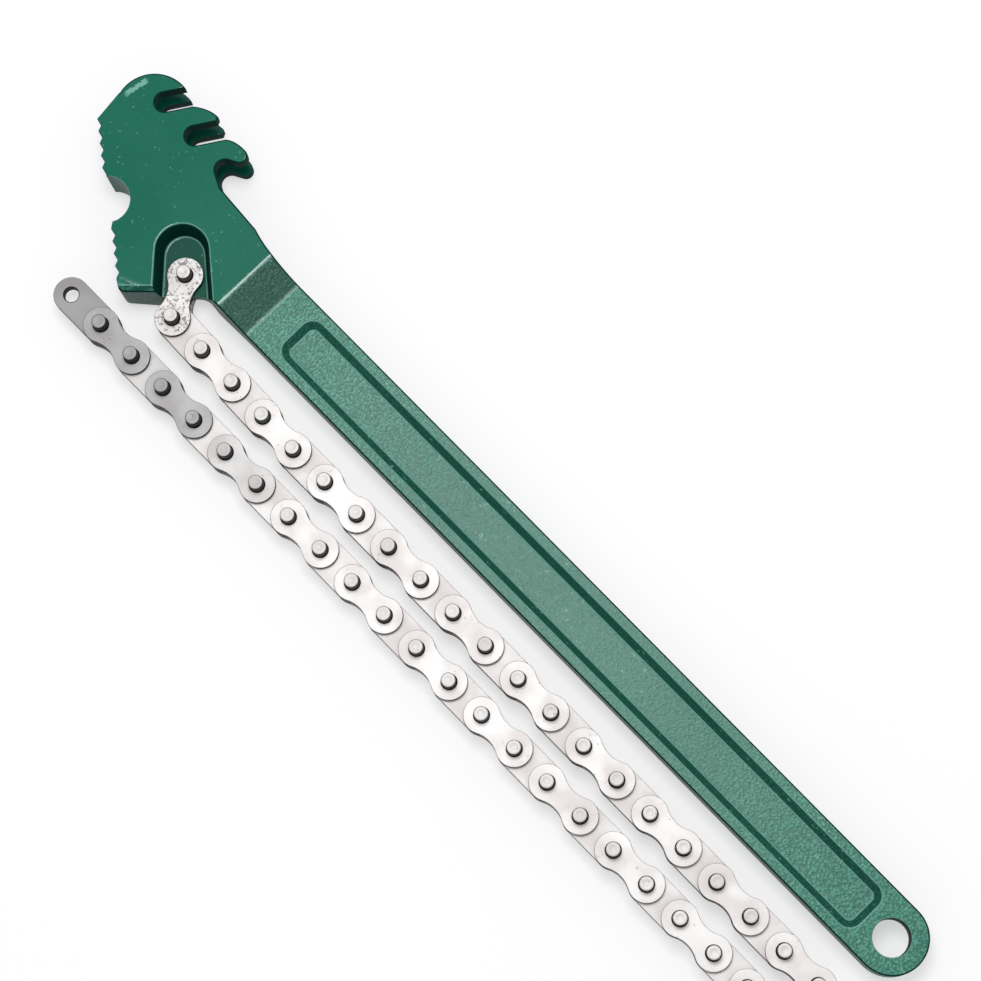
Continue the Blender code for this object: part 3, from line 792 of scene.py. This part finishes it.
def hole_cutter(name, centre, radius, half_height, lip, sides):
    """A round cutter through a wall, flared at both faces to round the hole's edges."""
    upper = []
    for i in range(WALL_FACETS + 1):
        angle = math.pi / 2 * i / WALL_FACETS
        out = lip * (1 - math.cos(angle))
        upper.append((radius + out, half_height - lip * (1 - math.sin(angle))))
    upper.append((radius + lip, half_height * HOLE_REACH))
    upper.append((0.0, half_height * HOLE_REACH))
    profile = [(r, MID_Z - z) for r, z in reversed(upper)] + [(r, MID_Z + z) for r, z in upper]
    return turn_profile(name, profile, centre, sides)


def on_rim(edge, level):
    """Whether an edge lies between a face at least as level as given and an upright one."""
    if len(edge.link_faces) != 2:
        return False
    up, side = sorted(abs(face.normal.z) for face in edge.link_faces)[::-1]
    return up > level and side < UPRIGHT_LEVEL


def on_relief(edge):
    """Whether an edge lies on the arc of the jaw's relief, away from the arc's ends."""
    for vert in edge.verts:
        run = vert.co.xy - on_head(RELIEF_CENTRE)
        angle = math.atan2(run.y, run.x)
        if abs(run.length - RELIEF_RADIUS) > MERGE_DISTANCE * 3:
            return False
        if not RELIEF_ARC[0] + ARC_END < angle < RELIEF_ARC[1] - ARC_END:
            return False
    return True


def round_edges(obj, test, radius, finish):
    """Bevel the edges that pass a test, with the new faces in one of the finishes."""
    edit(obj, "EDGE")
    choose("EDGE", test)
    bpy.ops.mesh.bevel(
        offset=radius, segments=3, profile=0.5, affect="EDGES", clamp_overlap=True,
        material=finish,
    )
    bpy.ops.object.mode_set(mode="OBJECT")


def finish_walls(body):
    """Give the walls their enamels: one with a painted highlight on the jaw's turned walls, one of
    painted shade elsewhere.
    """
    for face in body.data.polygons:
        if face.material_index != PLAIN:
            continue
        level = abs(face.normal.z)
        turned = face.normal.x - face.normal.y > LIT_TURN
        low = face.center.y < on_head(UPPER_ROW_START).y
        if turned and low and (level < UPRIGHT_LEVEL or WALL_LEVEL < level < SLOPED_LEVEL):
            face.material_index = LIT_WALL
        elif level < WALL_LEVEL:
            face.material_index = SHADED_WALL


class WRENCH_OT_forging(bpy.types.Operator):
    """Model the forging: head, jaw, hooks and handle"""

    bl_idname = "wrench.forging"
    bl_label = "Forging"

    def execute(self, context):
        look = context.scene.wrench_forging
        step = look.facet_angle
        half = HEAD_THICKNESS / 2
        finish = context.scene.wrench_finish
        body = draw_plate("forging", blank_outline(step), MID_Z - half, MID_Z + half)
        # Enamels with painted shade and painted highlights for the walls and rims
        for material in (
            enamel(finish),
            flat_enamel("green_enamel_shaded_walls", finish.paint_shade, 0.6, 0.03),
            lit_wall_enamel(finish),
            flat_enamel("green_enamel_lit_rim", finish.paint_highlight_and_chips, 0.35, 0.5),
        ):
            body.data.materials.append(material)
        carve(body, step_cutter(1))
        carve(body, step_cutter(-1))
        carve(body, jaw_chamfer_cutter(1))
        carve(body, jaw_chamfer_cutter(-1))
        # The outer edges' rounding takes the painted-shade enamel, which draws a dark outline
        round_edges(body, lambda edge: on_rim(edge, WALL_LEVEL), look.edge_radius, SHADED_WALL)
        carve(body, jaw_cutter(step, look.tooth_radius))
        # The relief's rounding takes a painted highlight
        round_edges(
            body, lambda edge: on_rim(edge, FLAT_LEVEL) and on_relief(edge),
            look.relief_radius, LIT_RIM,
        )
        slot_half = SLOT_WIDTH / 2
        carve(body, draw_plate("slot_cutter", slot_outline(), MID_Z - slot_half, MID_Z + slot_half))
        recess_slope = math.atan2(RECESS_DEPTH, RECESS_DRAFT)
        recess_steps = wall_profile(
            RECESS_DEPTH, recess_slope, look.recess_lip, look.recess_fillet
        )
        recess_grow = look.recess_lip * math.tan(recess_slope / 2)
        pocket_depth = (HEAD_THICKNESS - TONGUE_THICKNESS) / 2
        pocket_slope = math.atan2(pocket_depth, POCKET_DRAFT)
        pocket_steps = wall_profile(
            pocket_depth, pocket_slope, look.pocket_radius, look.pocket_radius
        )
        pocket_grow = look.pocket_radius * math.tan(pocket_slope / 2)
        for side in (1, -1):
            handle_z = MID_Z + side * HANDLE_THICKNESS / 2
            head_z = MID_Z + side * half
            outline = recess_outline(recess_grow, step)
            carve(body, sunk_cutter("recess_cutter", outline, handle_z, side, recess_steps))
            outline = pocket_outline(pocket_grow, step)
            carve(body, sunk_cutter("pocket_cutter", outline, head_z, side, pocket_steps))
        split_faces(body)
        carve(body, hole_cutter(
            "hang_hole_cutter", HOLE_AXIS, HANG_HOLE_DIAMETER / 2, HANDLE_THICKNESS / 2,
            look.hole_radius, HANG_HOLE_SIDES,
        ))
        carve(body, hole_cutter(
            "anchor_hole_cutter", on_head(ANCHOR_PIN), PIN_DIAMETER / 2 + PLATE_GAP / 2,
            TONGUE_THICKNESS / 2, PLATE_GAP / 2, ANCHOR_HOLE_SIDES,
        ))
        smooth(body)
        finish_walls(body)
        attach(body, "wrench")
        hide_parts("wrench_body")
        return {"FINISHED"}


# Parts of the chain

def stamped_plate(name, waist_share, look, bored):
    """One chain plate, its mid-plane at height 0 and its first pin at the origin."""
    outline = link_outline(PLATE_HEIGHT / 2, waist_share, PLATE_FACET)
    half = PLATE_THICKNESS / 2
    plate = draw_plate(name, outline, -half, half)
    edit(plate, "EDGE")
    choose("EDGE", lambda edge: edge.calc_face_angle(0.0) > PLATE_RIM)
    bpy.ops.mesh.bevel(offset=look.plate_edge, segments=2, affect="EDGES", clamp_overlap=True)
    bpy.ops.object.mode_set(mode="OBJECT")
    radius = PIN_DIAMETER / 2 + PLATE_GAP / 4
    lip = look.plate_edge
    for x in bored:
        centre = Vector((x, 0.0))
        profile = [(0.0, -half * 2), (radius + lip, -half * 2), (radius + lip, -half)]
        profile += [(radius, -half + lip), (radius, half - lip)]
        profile += [(radius + lip, half), (radius + lip, half * 2), (0.0, half * 2)]
        carve(plate, turn_profile("bore_cutter", profile, centre, look.pin_sides))
    smooth(plate)
    return plate


def chain_pin(name, look):
    """One pin standing at the origin, with chamfered and slightly hollow ends."""
    radius = PIN_DIAMETER / 2
    half = PIN_LENGTH / 2
    chamfer = look.pin_chamfer
    end = [
        (radius, half - chamfer),
        (radius - chamfer * CHAMFER_BEND, half - chamfer * CHAMFER_BEND),
        (radius - chamfer, half),
        (radius * DIMPLE_RIM, half),
        (radius * DIMPLE_FLOOR, half - look.pin_dimple),
        (0.0, half - look.pin_dimple),
    ]
    profile = [(r, -z) for r, z in reversed(end)] + end
    pin = turn_profile(name, profile, Vector((0.0, 0.0)), look.pin_sides)
    smooth(pin)
    return pin


def link_matrix(number):
    """Where a link lies: its first pin, turned towards its second."""
    start = HINGES[number - 1]
    if number < LINK_COUNT:
        run = HINGES[number] - start
    else:
        run = start - HINGES[number - 2]
    turn = Matrix.Rotation(math.atan2(run.y, run.x), 4, "Z")
    return Matrix.Translation(start) @ turn


def place_copy(master, name, number, offset, material):
    """A copy of a piece with its own mesh, laid into a link and riding on it."""
    piece = master.copy()
    piece.data = master.data.copy()
    piece.name = name
    piece.data.name = name
    bpy.context.scene.collection.objects.link(piece)
    piece.data.transform(link_matrix(number) @ Matrix.Translation(offset))
    paint_with(piece, material)
    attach(piece, f"link_{number:02d}")
    return piece


class WRENCH_OT_outer_links(bpy.types.Operator):
    """Model the waisted outer plates and the pins through them"""

    bl_idname = "wrench.outer_links"
    bl_label = "Outer links"

    def execute(self, context):
        look = context.scene.wrench_chain
        finish = context.scene.wrench_finish
        plate_steel = link_steels("outer_plate_steel", finish, *OUTER_FINISH)
        pin_steel = link_steels("pin_steel", finish, *PIN_FINISH)
        plate = stamped_plate("outer_plate", WAIST_SHARE, look, (0.0, CHAIN_PITCH))
        pin = chain_pin("chain_pin", look)
        for number in range(3, LINK_COUNT, 2):
            for side, word in ((1, "front"), (-1, "back")):
                offset = Vector((0.0, 0.0, side * OUTER_OFFSET))
                name = f"outer_plate_{number:02d}_{word}"
                piece = place_copy(plate, name, number, offset, plate_steel(number))
                if side == 1:
                    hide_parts(f"outer_link_{number:02d}")
            for x, word in ((0.0, "a"), (CHAIN_PITCH, "b")):
                offset = Vector((x, 0.0, 0.0))
                name = f"pin_{number:02d}_{word}"
                place_copy(pin, name, number, offset, pin_steel(number))
        bpy.data.objects.remove(plate, do_unlink=True)
        bpy.data.objects.remove(pin, do_unlink=True)
        return {"FINISHED"}


class WRENCH_OT_inner_links(bpy.types.Operator):
    """Model the straight-sided inner plates, two to a link"""

    bl_idname = "wrench.inner_links"
    bl_label = "Inner links"

    def execute(self, context):
        look = context.scene.wrench_chain
        finish = context.scene.wrench_finish
        plate_steel = link_steels("inner_plate_steel", finish, *INNER_FINISH)
        plate = stamped_plate("inner_plate", 1.0, look, (0.0, CHAIN_PITCH))
        for number in range(2, LINK_COUNT + 1, 2):
            replaced = "end_link" if number == LINK_COUNT else f"inner_link_{number:02d}"
            for side, word in ((1, "front"), (-1, "back")):
                offset = Vector((0.0, 0.0, side * (PLATE_THICKNESS + FINE_SEAM_WIDTH) / 2))
                name = f"inner_plate_{number:02d}_{word}"
                piece = place_copy(plate, name, number, offset, plate_steel(number))
                if side == 1:
                    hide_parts(replaced)
        bpy.data.objects.remove(plate, do_unlink=True)
        return {"FINISHED"}


class WRENCH_OT_anchor_link(bpy.types.Operator):
    """Model the link pinned to the head: two pitted plates and two pins"""

    bl_idname = "wrench.anchor_link"
    bl_label = "Anchor link"

    def execute(self, context):
        look = context.scene.wrench_chain
        finish = context.scene.wrench_finish
        pitted = plated_steel("anchor_steel", finish.plating, *ANCHOR_FINISH)
        pin_steel = plated_steel("anchor_pin_steel", finish.plating, *ANCHOR_PIN_FINISH)
        plate = stamped_plate("anchor_plate", WAIST_SHARE, look, (0.0, CHAIN_PITCH))
        pin = chain_pin("anchor_chain_pin", look)
        for side, word in ((1, "front"), (-1, "back")):
            offset = Vector((0.0, 0.0, side * OUTER_OFFSET))
            name = f"anchor_plate_{word}_fine"
            piece = place_copy(plate, name, 1, offset, pitted)
            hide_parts(f"anchor_plate_{word}")
        for x, replaced in ((0.0, "anchor_pin"), (CHAIN_PITCH, "anchor_link_pin")):
            offset = Vector((x, 0.0, 0.0))
            piece = place_copy(pin, f"{replaced}_fine", 1, offset, pin_steel)
            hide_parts(replaced)
        bpy.data.objects.remove(plate, do_unlink=True)
        bpy.data.objects.remove(pin, do_unlink=True)
        return {"FINISHED"}


# Finishes

def feed(tree, made, values):
    """Set a node's inputs, by name or number, to numbers, colours or other nodes' sockets."""
    for key, value in values.items():
        socket = made.inputs[key]
        if isinstance(value, bpy.types.NodeSocket):
            tree.links.new(value, socket)
        elif socket.type == "RGBA":
            socket.default_value = (*value, 1.0)
        else:
            socket.default_value = value


def node(tree, kind, **values):
    """A node with its properties and inputs set."""
    made = tree.nodes.new(kind)
    for key, value in values.items():
        if key in made.inputs:
            feed(tree, made, {key: value})
        else:
            setattr(made, key, value)
    return made


def math_node(tree, operation, first, second=None, clamp=False):
    """A Math node fed by sockets or numbers."""
    made = node(tree, "ShaderNodeMath", operation=operation, use_clamp=clamp)
    feed(tree, made, {0: first} if second is None else {0: first, 1: second})
    return made.outputs[0]


def add(tree, first, second, clamp=False):
    """The sum of two values."""
    return math_node(tree, "ADD", first, second, clamp)


def less(tree, first, second):
    """The first of two values less the second."""
    return math_node(tree, "SUBTRACT", first, second)


def times(tree, first, second, clamp=False):
    """The product of two values."""
    return math_node(tree, "MULTIPLY", first, second, clamp)


def ramp(tree, value, low, high, start=0.0, end=1.0):
    """A smooth step of a value between two limits."""
    made = node(tree, "ShaderNodeMapRange", interpolation_type="SMOOTHSTEP", Value=value)
    feed(tree, made, {"From Min": low, "From Max": high, "To Min": start, "To Max": end})
    return made.outputs["Result"]


def noise(tree, place, scale, detail=2.0, roughness=0.5):
    """A noise texture's value."""
    made = node(
        tree, "ShaderNodeTexNoise", Vector=place, Scale=scale, Detail=detail, Roughness=roughness
    )
    return made.outputs["Fac"]


def mix_color(tree, share, first, second):
    """A colour between two, each a socket or a colour."""
    made = node(tree, "ShaderNodeMix", data_type="RGBA", Factor=share)
    feed(tree, made, {6: first, 7: second})
    return made.outputs[2]


def bumps(tree, height):
    """The normal of a height in metres."""
    made = node(tree, "ShaderNodeBump", Strength=1.0, Distance=1.0, Height=height)
    return made.outputs["Normal"]


def own_place(tree):
    """Where a point lies on its piece."""
    return node(tree, "ShaderNodeTexCoord").outputs["Object"]


def split(tree, vector):
    """The X, Y and Z of a vector."""
    return node(tree, "ShaderNodeSeparateXYZ", Vector=vector).outputs


def face_level(tree):
    """How level a face is: the height of its normal, up or down."""
    normal = node(tree, "ShaderNodeNewGeometry").outputs["Normal"]
    return math_node(tree, "ABSOLUTE", split(tree, normal)["Z"])


def use_group(tree, fill, outputs=("Mask",), **values):
    """The outputs of a group node, whose group is filled when it is first asked for."""
    name = fill.__name__
    if name not in bpy.data.node_groups:
        group = bpy.data.node_groups.new(name, "ShaderNodeTree")
        for way, sockets in (("INPUT", values), ("OUTPUT", outputs)):
            for socket in sockets:
                group.interface.new_socket(name=socket, in_out=way, socket_type="NodeSocketFloat")
        given = group.nodes.new("NodeGroupInput").outputs
        feed(group, group.nodes.new("NodeGroupOutput"), fill(group, given))
    made = node(tree, "ShaderNodeGroup", node_tree=bpy.data.node_groups[name])
    feed(tree, made, values)
    return made.outputs


def upright_faces(group, given):
    """Mask of how far a face stands away from level."""
    reach = less(group, given["High"], face_level(group))
    span = less(group, given["High"], given["Low"])
    return {"Mask": math_node(group, "DIVIDE", reach, span, clamp=True)}


def rounded_rims(group, given):
    """Mask of the rounded rims between a level face and its walls."""
    level = face_level(group)
    below = ramp(group, level, 0.975, 0.993, 1.0, 0.0)
    return {"Mask": times(group, below, ramp(group, level, 0.70, 0.80))}


def enamel_pebbles(group, given):
    """Orange peel of sprayed enamel over cast metal: a height in metres, and its crests."""
    place = own_place(group)
    frequency = math_node(group, "DIVIDE", 1.0, given["Width"])
    cells = node(
        group, "ShaderNodeTexVoronoi", feature="SMOOTH_F1", Smoothness=0.6,
        Vector=place, Scale=frequency,
    )
    dip = times(group, cells.outputs["Distance"], -0.7)
    mixed = add(group, noise(group, place, frequency, 3.0, 0.55), dip)
    height = times(group, mixed, given["Height"])
    return {"Height": height, "Crest": ramp(group, mixed, 0.05, 0.45)}


def scattered_specks(group, given):
    """Scattered small specks, such as chips or pits."""
    place = own_place(group)
    frequency = math_node(group, "DIVIDE", 1.0, given["Width"])
    crowd = times(group, less(group, noise(group, place, 160.0), 0.5), 0.25)
    level = add(group, noise(group, place, frequency, 4.0, 0.65), crowd)
    edge = less(group, 0.75, times(group, given["Amount"], 0.16))
    return {"Mask": times(group, less(group, level, edge), 20.0, clamp=True)}


def bare_material(name):
    """A material with its Principled shader."""
    material = bpy.data.materials.new(name)
    material.use_nodes = True
    return material, material.node_tree, material.node_tree.nodes["Principled BSDF"]


def stroke(tree, place, centre, angle, length, width, torn):
    """A mask of a straight mark on the faces, with its edges torn by a share of its width."""
    away = node(tree, "ShaderNodeVectorMath", operation="SUBTRACT")
    feed(tree, away, {0: place, 1: (centre.x, centre.y, 0.0)})
    turned = node(
        tree, "ShaderNodeVectorRotate", rotation_type="Z_AXIS", Angle=-angle,
        Vector=away.outputs[0],
    )
    parts = split(tree, turned.outputs[0])
    frayed = times(tree, less(tree, noise(tree, place, 900.0, 3.0), 0.5), torn * width)
    across = add(tree, math_node(tree, "ABSOLUTE", parts["Y"]), frayed)
    run = add(tree, math_node(tree, "ABSOLUTE", parts["X"]), frayed)
    inside = ramp(tree, across, width * 0.3, width * 0.6, 1.0, 0.0)
    return times(tree, inside, ramp(tree, run, length / 2 - width, length / 2, 1.0, 0.0))


def highlight_lines(tree, place):
    """A mask of the painted highlight lines across the step and along the jaw's chamfer, and of the
    light streak beside the dome.
    """
    inward = along(JAW_BACK_ANGLE + math.pi / 2, JAW_BOTTOM_CHAMFER + LINE_WIDTH / 2)
    jaw_middle = on_head(JAW_CORNER) + along(JAW_BACK_ANGLE, JAW_CHAMFER_SPAN[1] / 2) + inward
    head_end = Vector((STEP_START_X - LINE_WIDTH / 2, HOLE_AXIS.y))
    handle_end = Vector((STEP_END_X + SOFT_LINE_WIDTH / 2, HOLE_AXIS.y))
    across = math.pi / 2
    width = HANDLE_WIDTH * 2
    total = 0.0
    for *mark, share in (
        (head_end, across, width, LINE_WIDTH, 0.5, 0.35),
        (handle_end, across, width, SOFT_LINE_WIDTH, 1.5, 0.40),
        (jaw_middle, JAW_BACK_ANGLE, JAW_CHAMFER_SPAN[1], LINE_WIDTH, 0.5, 0.5),
        (on_head(STREAK_CENTRE), STREAK_ANGLE, STREAK_LENGTH, STREAK_WIDTH, 0.9, 0.9),
    ):
        total = add(tree, total, times(tree, stroke(tree, place, *mark), share))
    return total


def enamel(finish):
    """Green enamel: glossy on the head, pebbled and satin on the handle, with painted highlights on
    its rims, pebble crests and lines, and painted shade on its walls, slope and hollows.
    """
    material, tree, shader = bare_material("green_enamel")
    place = own_place(tree)
    x = split(tree, place)["X"]
    on_handle = ramp(tree, x, STEP_START_X - 0.001, STEP_START_X + 0.001)
    on_flat = ramp(tree, x, STEP_END_X - 0.0005, STEP_END_X + 0.0015)
    on_slope = less(tree, on_handle, on_flat)
    pebbles = use_group(
        tree, enamel_pebbles, ("Height", "Crest"),
        Width=finish.peel_size, Height=finish.peel_height,
    )
    upright = use_group(tree, upright_faces, Low=0.65, High=0.93)["Mask"]
    rims = use_group(tree, rounded_rims)["Mask"]
    specks = use_group(tree, scattered_specks, Width=0.0016, Amount=0.62)["Mask"]
    # Painted highlight on the handle's pebble crests, stronger towards the handle's ends, with a
    # faint random mottle
    middle = (STEP_END_X + HOLE_AXIS.x) / 2
    from_middle = math_node(tree, "ABSOLUTE", less(tree, x, middle))
    crest_light_share = ramp(tree, from_middle, 0.045, 0.115, 0.30, 0.85)
    crest = times(tree, pebbles["Crest"], on_handle)
    drift = noise(tree, place, 26.0, 3.0)
    highlit_and_mottled = times(tree, crest, crest_light_share)
    highlit_and_mottled = add(tree, highlit_and_mottled, ramp(tree, drift, 0.35, 0.7, 0.0, 0.10), clamp=True)
    color = mix_color(tree, highlit_and_mottled, finish.paint, finish.paint_highlight_and_mottle)
    # Painted shade: darker deeper in the head's hollows, on the step's slope and on steep faces
    height = math_node(tree, "ABSOLUTE", less(tree, split(tree, place)["Z"], MID_Z))
    sunk = less(tree, HEAD_THICKNESS / 2, height)
    off_handle = less(tree, 1.0, on_handle)
    painted_shade = times(tree, ramp(tree, sunk, 0.001, 0.005, 0.0, 0.50), off_handle)
    painted_shade = math_node(tree, "MAXIMUM", painted_shade, times(tree, on_slope, 0.70))
    steep = times(tree, upright, 0.72)
    painted_shade = math_node(tree, "MAXIMUM", painted_shade, steep)
    color = mix_color(tree, painted_shade, color, finish.paint_shade)
    # Painted highlight on the rounded rims, kept off the step's slope; the specks are chips in the
    # paint
    rim = times(tree, times(tree, rims, 0.55), less(tree, 1.0, on_slope))
    highlight_and_chips = add(tree, rim, times(tree, specks, 0.6))
    highlight_and_chips = add(tree, highlight_and_chips, highlight_lines(tree, place), clamp=True)
    relief = ramp(tree, on_handle, 0.0, 1.0, 0.12, 1.0)
    feed(tree, shader, {
        "Base Color": mix_color(tree, highlight_and_chips, color, finish.paint_highlight_and_chips),
        "Specular IOR Level": 0.4,
        "Roughness": add(tree, ramp(tree, on_handle, 0.0, 1.0, 0.12, 0.35), steep),
        "Normal": bumps(tree, times(tree, pebbles["Height"], relief)),
    })
    return material


def flat_enamel(name, color, roughness, shine):
    """Green enamel of one colour: painted shade on the walls and outer edges, a painted highlight on
    the relief's rounded rim.
    """
    material, tree, shader = bare_material(name)
    feed(tree, shader, {"Base Color": color, "Roughness": roughness, "Specular IOR Level": shine})
    return material


def lit_wall_enamel(finish):
    """Green enamel on the walls that face the camera's side: a painted highlight, grey as if lit,
    and specked.
    """
    material, tree, shader = bare_material("green_enamel_lit_walls")
    patches = ramp(tree, noise(tree, own_place(tree), 700.0, 3.0), 0.35, 0.75, 0.15, 0.55)
    color = mix_color(tree, patches, finish.paint_shade, finish.paint_highlight_and_mottle)
    feed(tree, shader, {"Base Color": color, "Roughness": 0.45, "Specular IOR Level": 0.15})
    return material


def plated_steel(name, color, roughness, pitting):
    """Plated steel with faint stains and fine pits, its upright sides and edges near-black: mostly
    painted shade, partly grease in the edges.
    """
    material, tree, shader = bare_material(name)
    place = own_place(tree)
    upright = use_group(tree, upright_faces, Low=0.75, High=0.975)["Mask"]
    specks = use_group(tree, scattered_specks, Width=0.0009, Amount=pitting)["Mask"]
    drift = noise(tree, place, 70.0, 3.0)
    warm = tuple(value * tint for value, tint in zip(color, (0.97, 0.94, 0.935)))
    stained = mix_color(tree, ramp(tree, drift, 0.42, 0.62), color, warm)
    pit = tuple(value * 0.35 for value in color)
    pitted = mix_color(tree, times(tree, specks, 0.35 + 0.45 * pitting), stained, pit)
    # Upright faces near-black: painted shade, with some grease in the edges
    shade_and_grease = tuple(value * 0.06 for value in color)
    grain = times(tree, noise(tree, place, 1500.0, 3.0, 0.6), 0.00001)
    feed(tree, shader, {
        "Base Color": mix_color(tree, upright, pitted, shade_and_grease),
        "Roughness": ramp(tree, drift, 0.3, 0.7, roughness - 0.03, roughness + 0.05),
        "Metallic": 0.7,
        "Normal": bumps(tree, add(tree, grain, times(tree, specks, -0.00004))),
    })
    return material


def link_steels(name, finish, roughness, pitting):
    """The steel of each link that is duller than the rest, and of all the others."""
    steels = {}
    for number, share in DULLNESS.items():
        pair = zip(finish.plating, finish.dull_plating)
        color = tuple(bright + (dull - bright) * share for bright, dull in pair)
        steels[number] = plated_steel(f"{name}_{number:02d}", color, roughness, pitting)
    plain = plated_steel(name, tuple(finish.plating), roughness, pitting)
    return lambda number: steels.get(number, plain)


# Studio

def look_along(place, forward, up):
    """The matrix of a camera or lamp at a place, looking forward with the picture's top up."""
    back = -forward.normalized()
    right = up.cross(back).normalized()
    turn = Matrix((right, back.cross(right), back)).transposed().to_4x4()
    return Matrix.Translation(place) @ turn


def from_hole(offset):
    """A place given from the axis of the hanging hole and the floor."""
    return Vector((HOLE_AXIS.x, HOLE_AXIS.y, 0.0)) + offset


class WRENCH_OT_stage(bpy.types.Operator):
    """Make the floor, the lamps, the world and the camera"""

    bl_idname = "wrench.stage"
    bl_label = "Studio"

    def execute(self, context):
        studio = context.scene.wrench_studio
        work_on()
        bpy.ops.mesh.primitive_plane_add(size=FLOOR_SIZE, location=(0.0, 0.0, -FLOOR_GAP))
        floor = context.object
        floor.name = "studio_floor"
        paint_with(floor, floor_paper(studio))
        box = bpy.data.lights.new("softbox", "AREA")
        box.shape = "SQUARE"
        box.size = studio.softbox_size
        box.energy = studio.softbox_power
        lamp = bpy.data.objects.new("softbox", box)
        context.scene.collection.objects.link(lamp)
        lamp.matrix_world = look_along(
            from_hole(SOFTBOX_PLACE), SOFTBOX_AIM - SOFTBOX_PLACE, Vector((0.0, 1.0, 0.0))
        )
        camera = bpy.data.cameras.new("photograph")
        camera.sensor_width = SENSOR_WIDTH
        camera.lens = studio.lens
        camera.clip_start = CLIP_START
        camera.clip_end = CLIP_END
        eye = bpy.data.objects.new("photograph", camera)
        context.scene.collection.objects.link(eye)
        eye.matrix_world = look_along(from_hole(CAMERA_PLACE), CAMERA_FORWARD, CAMERA_UP)
        context.scene.camera = eye
        context.scene.world = studio_world(studio)
        context.scene.view_settings.view_transform = "Standard"
        return {"FINISHED"}


def floor_paper(studio):
    """White paper that the camera sees as white, with the object's shadow on it."""
    material, tree, shader = bare_material("floor_paper")
    path = node(tree, "ShaderNodeLightPath").outputs
    mirrored = math_node(tree, "MAXIMUM", path["Is Glossy Ray"], path["Is Transmission Ray"])
    seen = math_node(tree, "MAXIMUM", path["Is Camera Ray"], mirrored)
    feed(tree, shader, {
        "Base Color": studio.floor_color, "Roughness": 0.9, "Specular IOR Level": 0.0,
        "Emission Color": WHITE, "Emission Strength": times(tree, seen, studio.floor_glow),
    })
    return material


def studio_world(studio):
    """Even white light from all round."""
    world = bpy.data.worlds.new("studio")
    world.use_nodes = True
    tree = world.node_tree
    feed(tree, tree.nodes["Background"], {"Color": WHITE, "Strength": studio.fill_level})
    return world


class WRENCH_PT_panel(bpy.types.Panel):
    """Lists the wrench's pieces and their settings"""

    bl_label = "Chain Pipe Wrench"
    bl_idname = "WRENCH_PT_panel"
    bl_space_type = "VIEW_3D"
    bl_region_type = "UI"
    bl_category = "Chain Wrench"

    def draw(self, context):
        scene = context.scene
        for settings, operators in PANEL_ROWS:
            box = self.layout.box()
            group = getattr(scene, settings)
            for name in group.__annotations__:
                box.prop(group, name)
            for operator in operators:
                box.operator(operator)


PANEL_ROWS = (
    ("wrench_forging", ("wrench.forging",)),
    ("wrench_chain", ("wrench.anchor_link", "wrench.outer_links", "wrench.inner_links")),
    ("wrench_finish", ()),
    ("wrench_studio", ("wrench.stage",)),
)

SETTINGS = (
    ("wrench_forging", ForgingSettings),
    ("wrench_chain", ChainSettings),
    ("wrench_finish", FinishSettings),
    ("wrench_studio", StudioSettings),
)

OPERATORS = (
    WRENCH_OT_forging,
    WRENCH_OT_anchor_link,
    WRENCH_OT_outer_links,
    WRENCH_OT_inner_links,
    WRENCH_OT_stage,
)


def register():
    """Register the classes and put the settings on the scene."""
    for name, group in SETTINGS:
        bpy.utils.register_class(group)
        setattr(bpy.types.Scene, name, PointerProperty(type=group))
    for operator in OPERATORS:
        bpy.utils.register_class(operator)
    bpy.utils.register_class(WRENCH_PT_panel)


def unregister():
    """Undo what register does."""
    bpy.utils.unregister_class(WRENCH_PT_panel)
    for operator in reversed(OPERATORS):
        bpy.utils.unregister_class(operator)
    for name, group in reversed(SETTINGS):
        delattr(bpy.types.Scene, name)
        bpy.utils.unregister_class(group)


def main():
    """Dress the wrench."""
    register()
    bpy.ops.wrench.forging()
    bpy.ops.wrench.anchor_link()
    bpy.ops.wrench.outer_links()
    bpy.ops.wrench.inner_links()
    bpy.ops.wrench.stage()


if __name__ == "__main__":
    main()
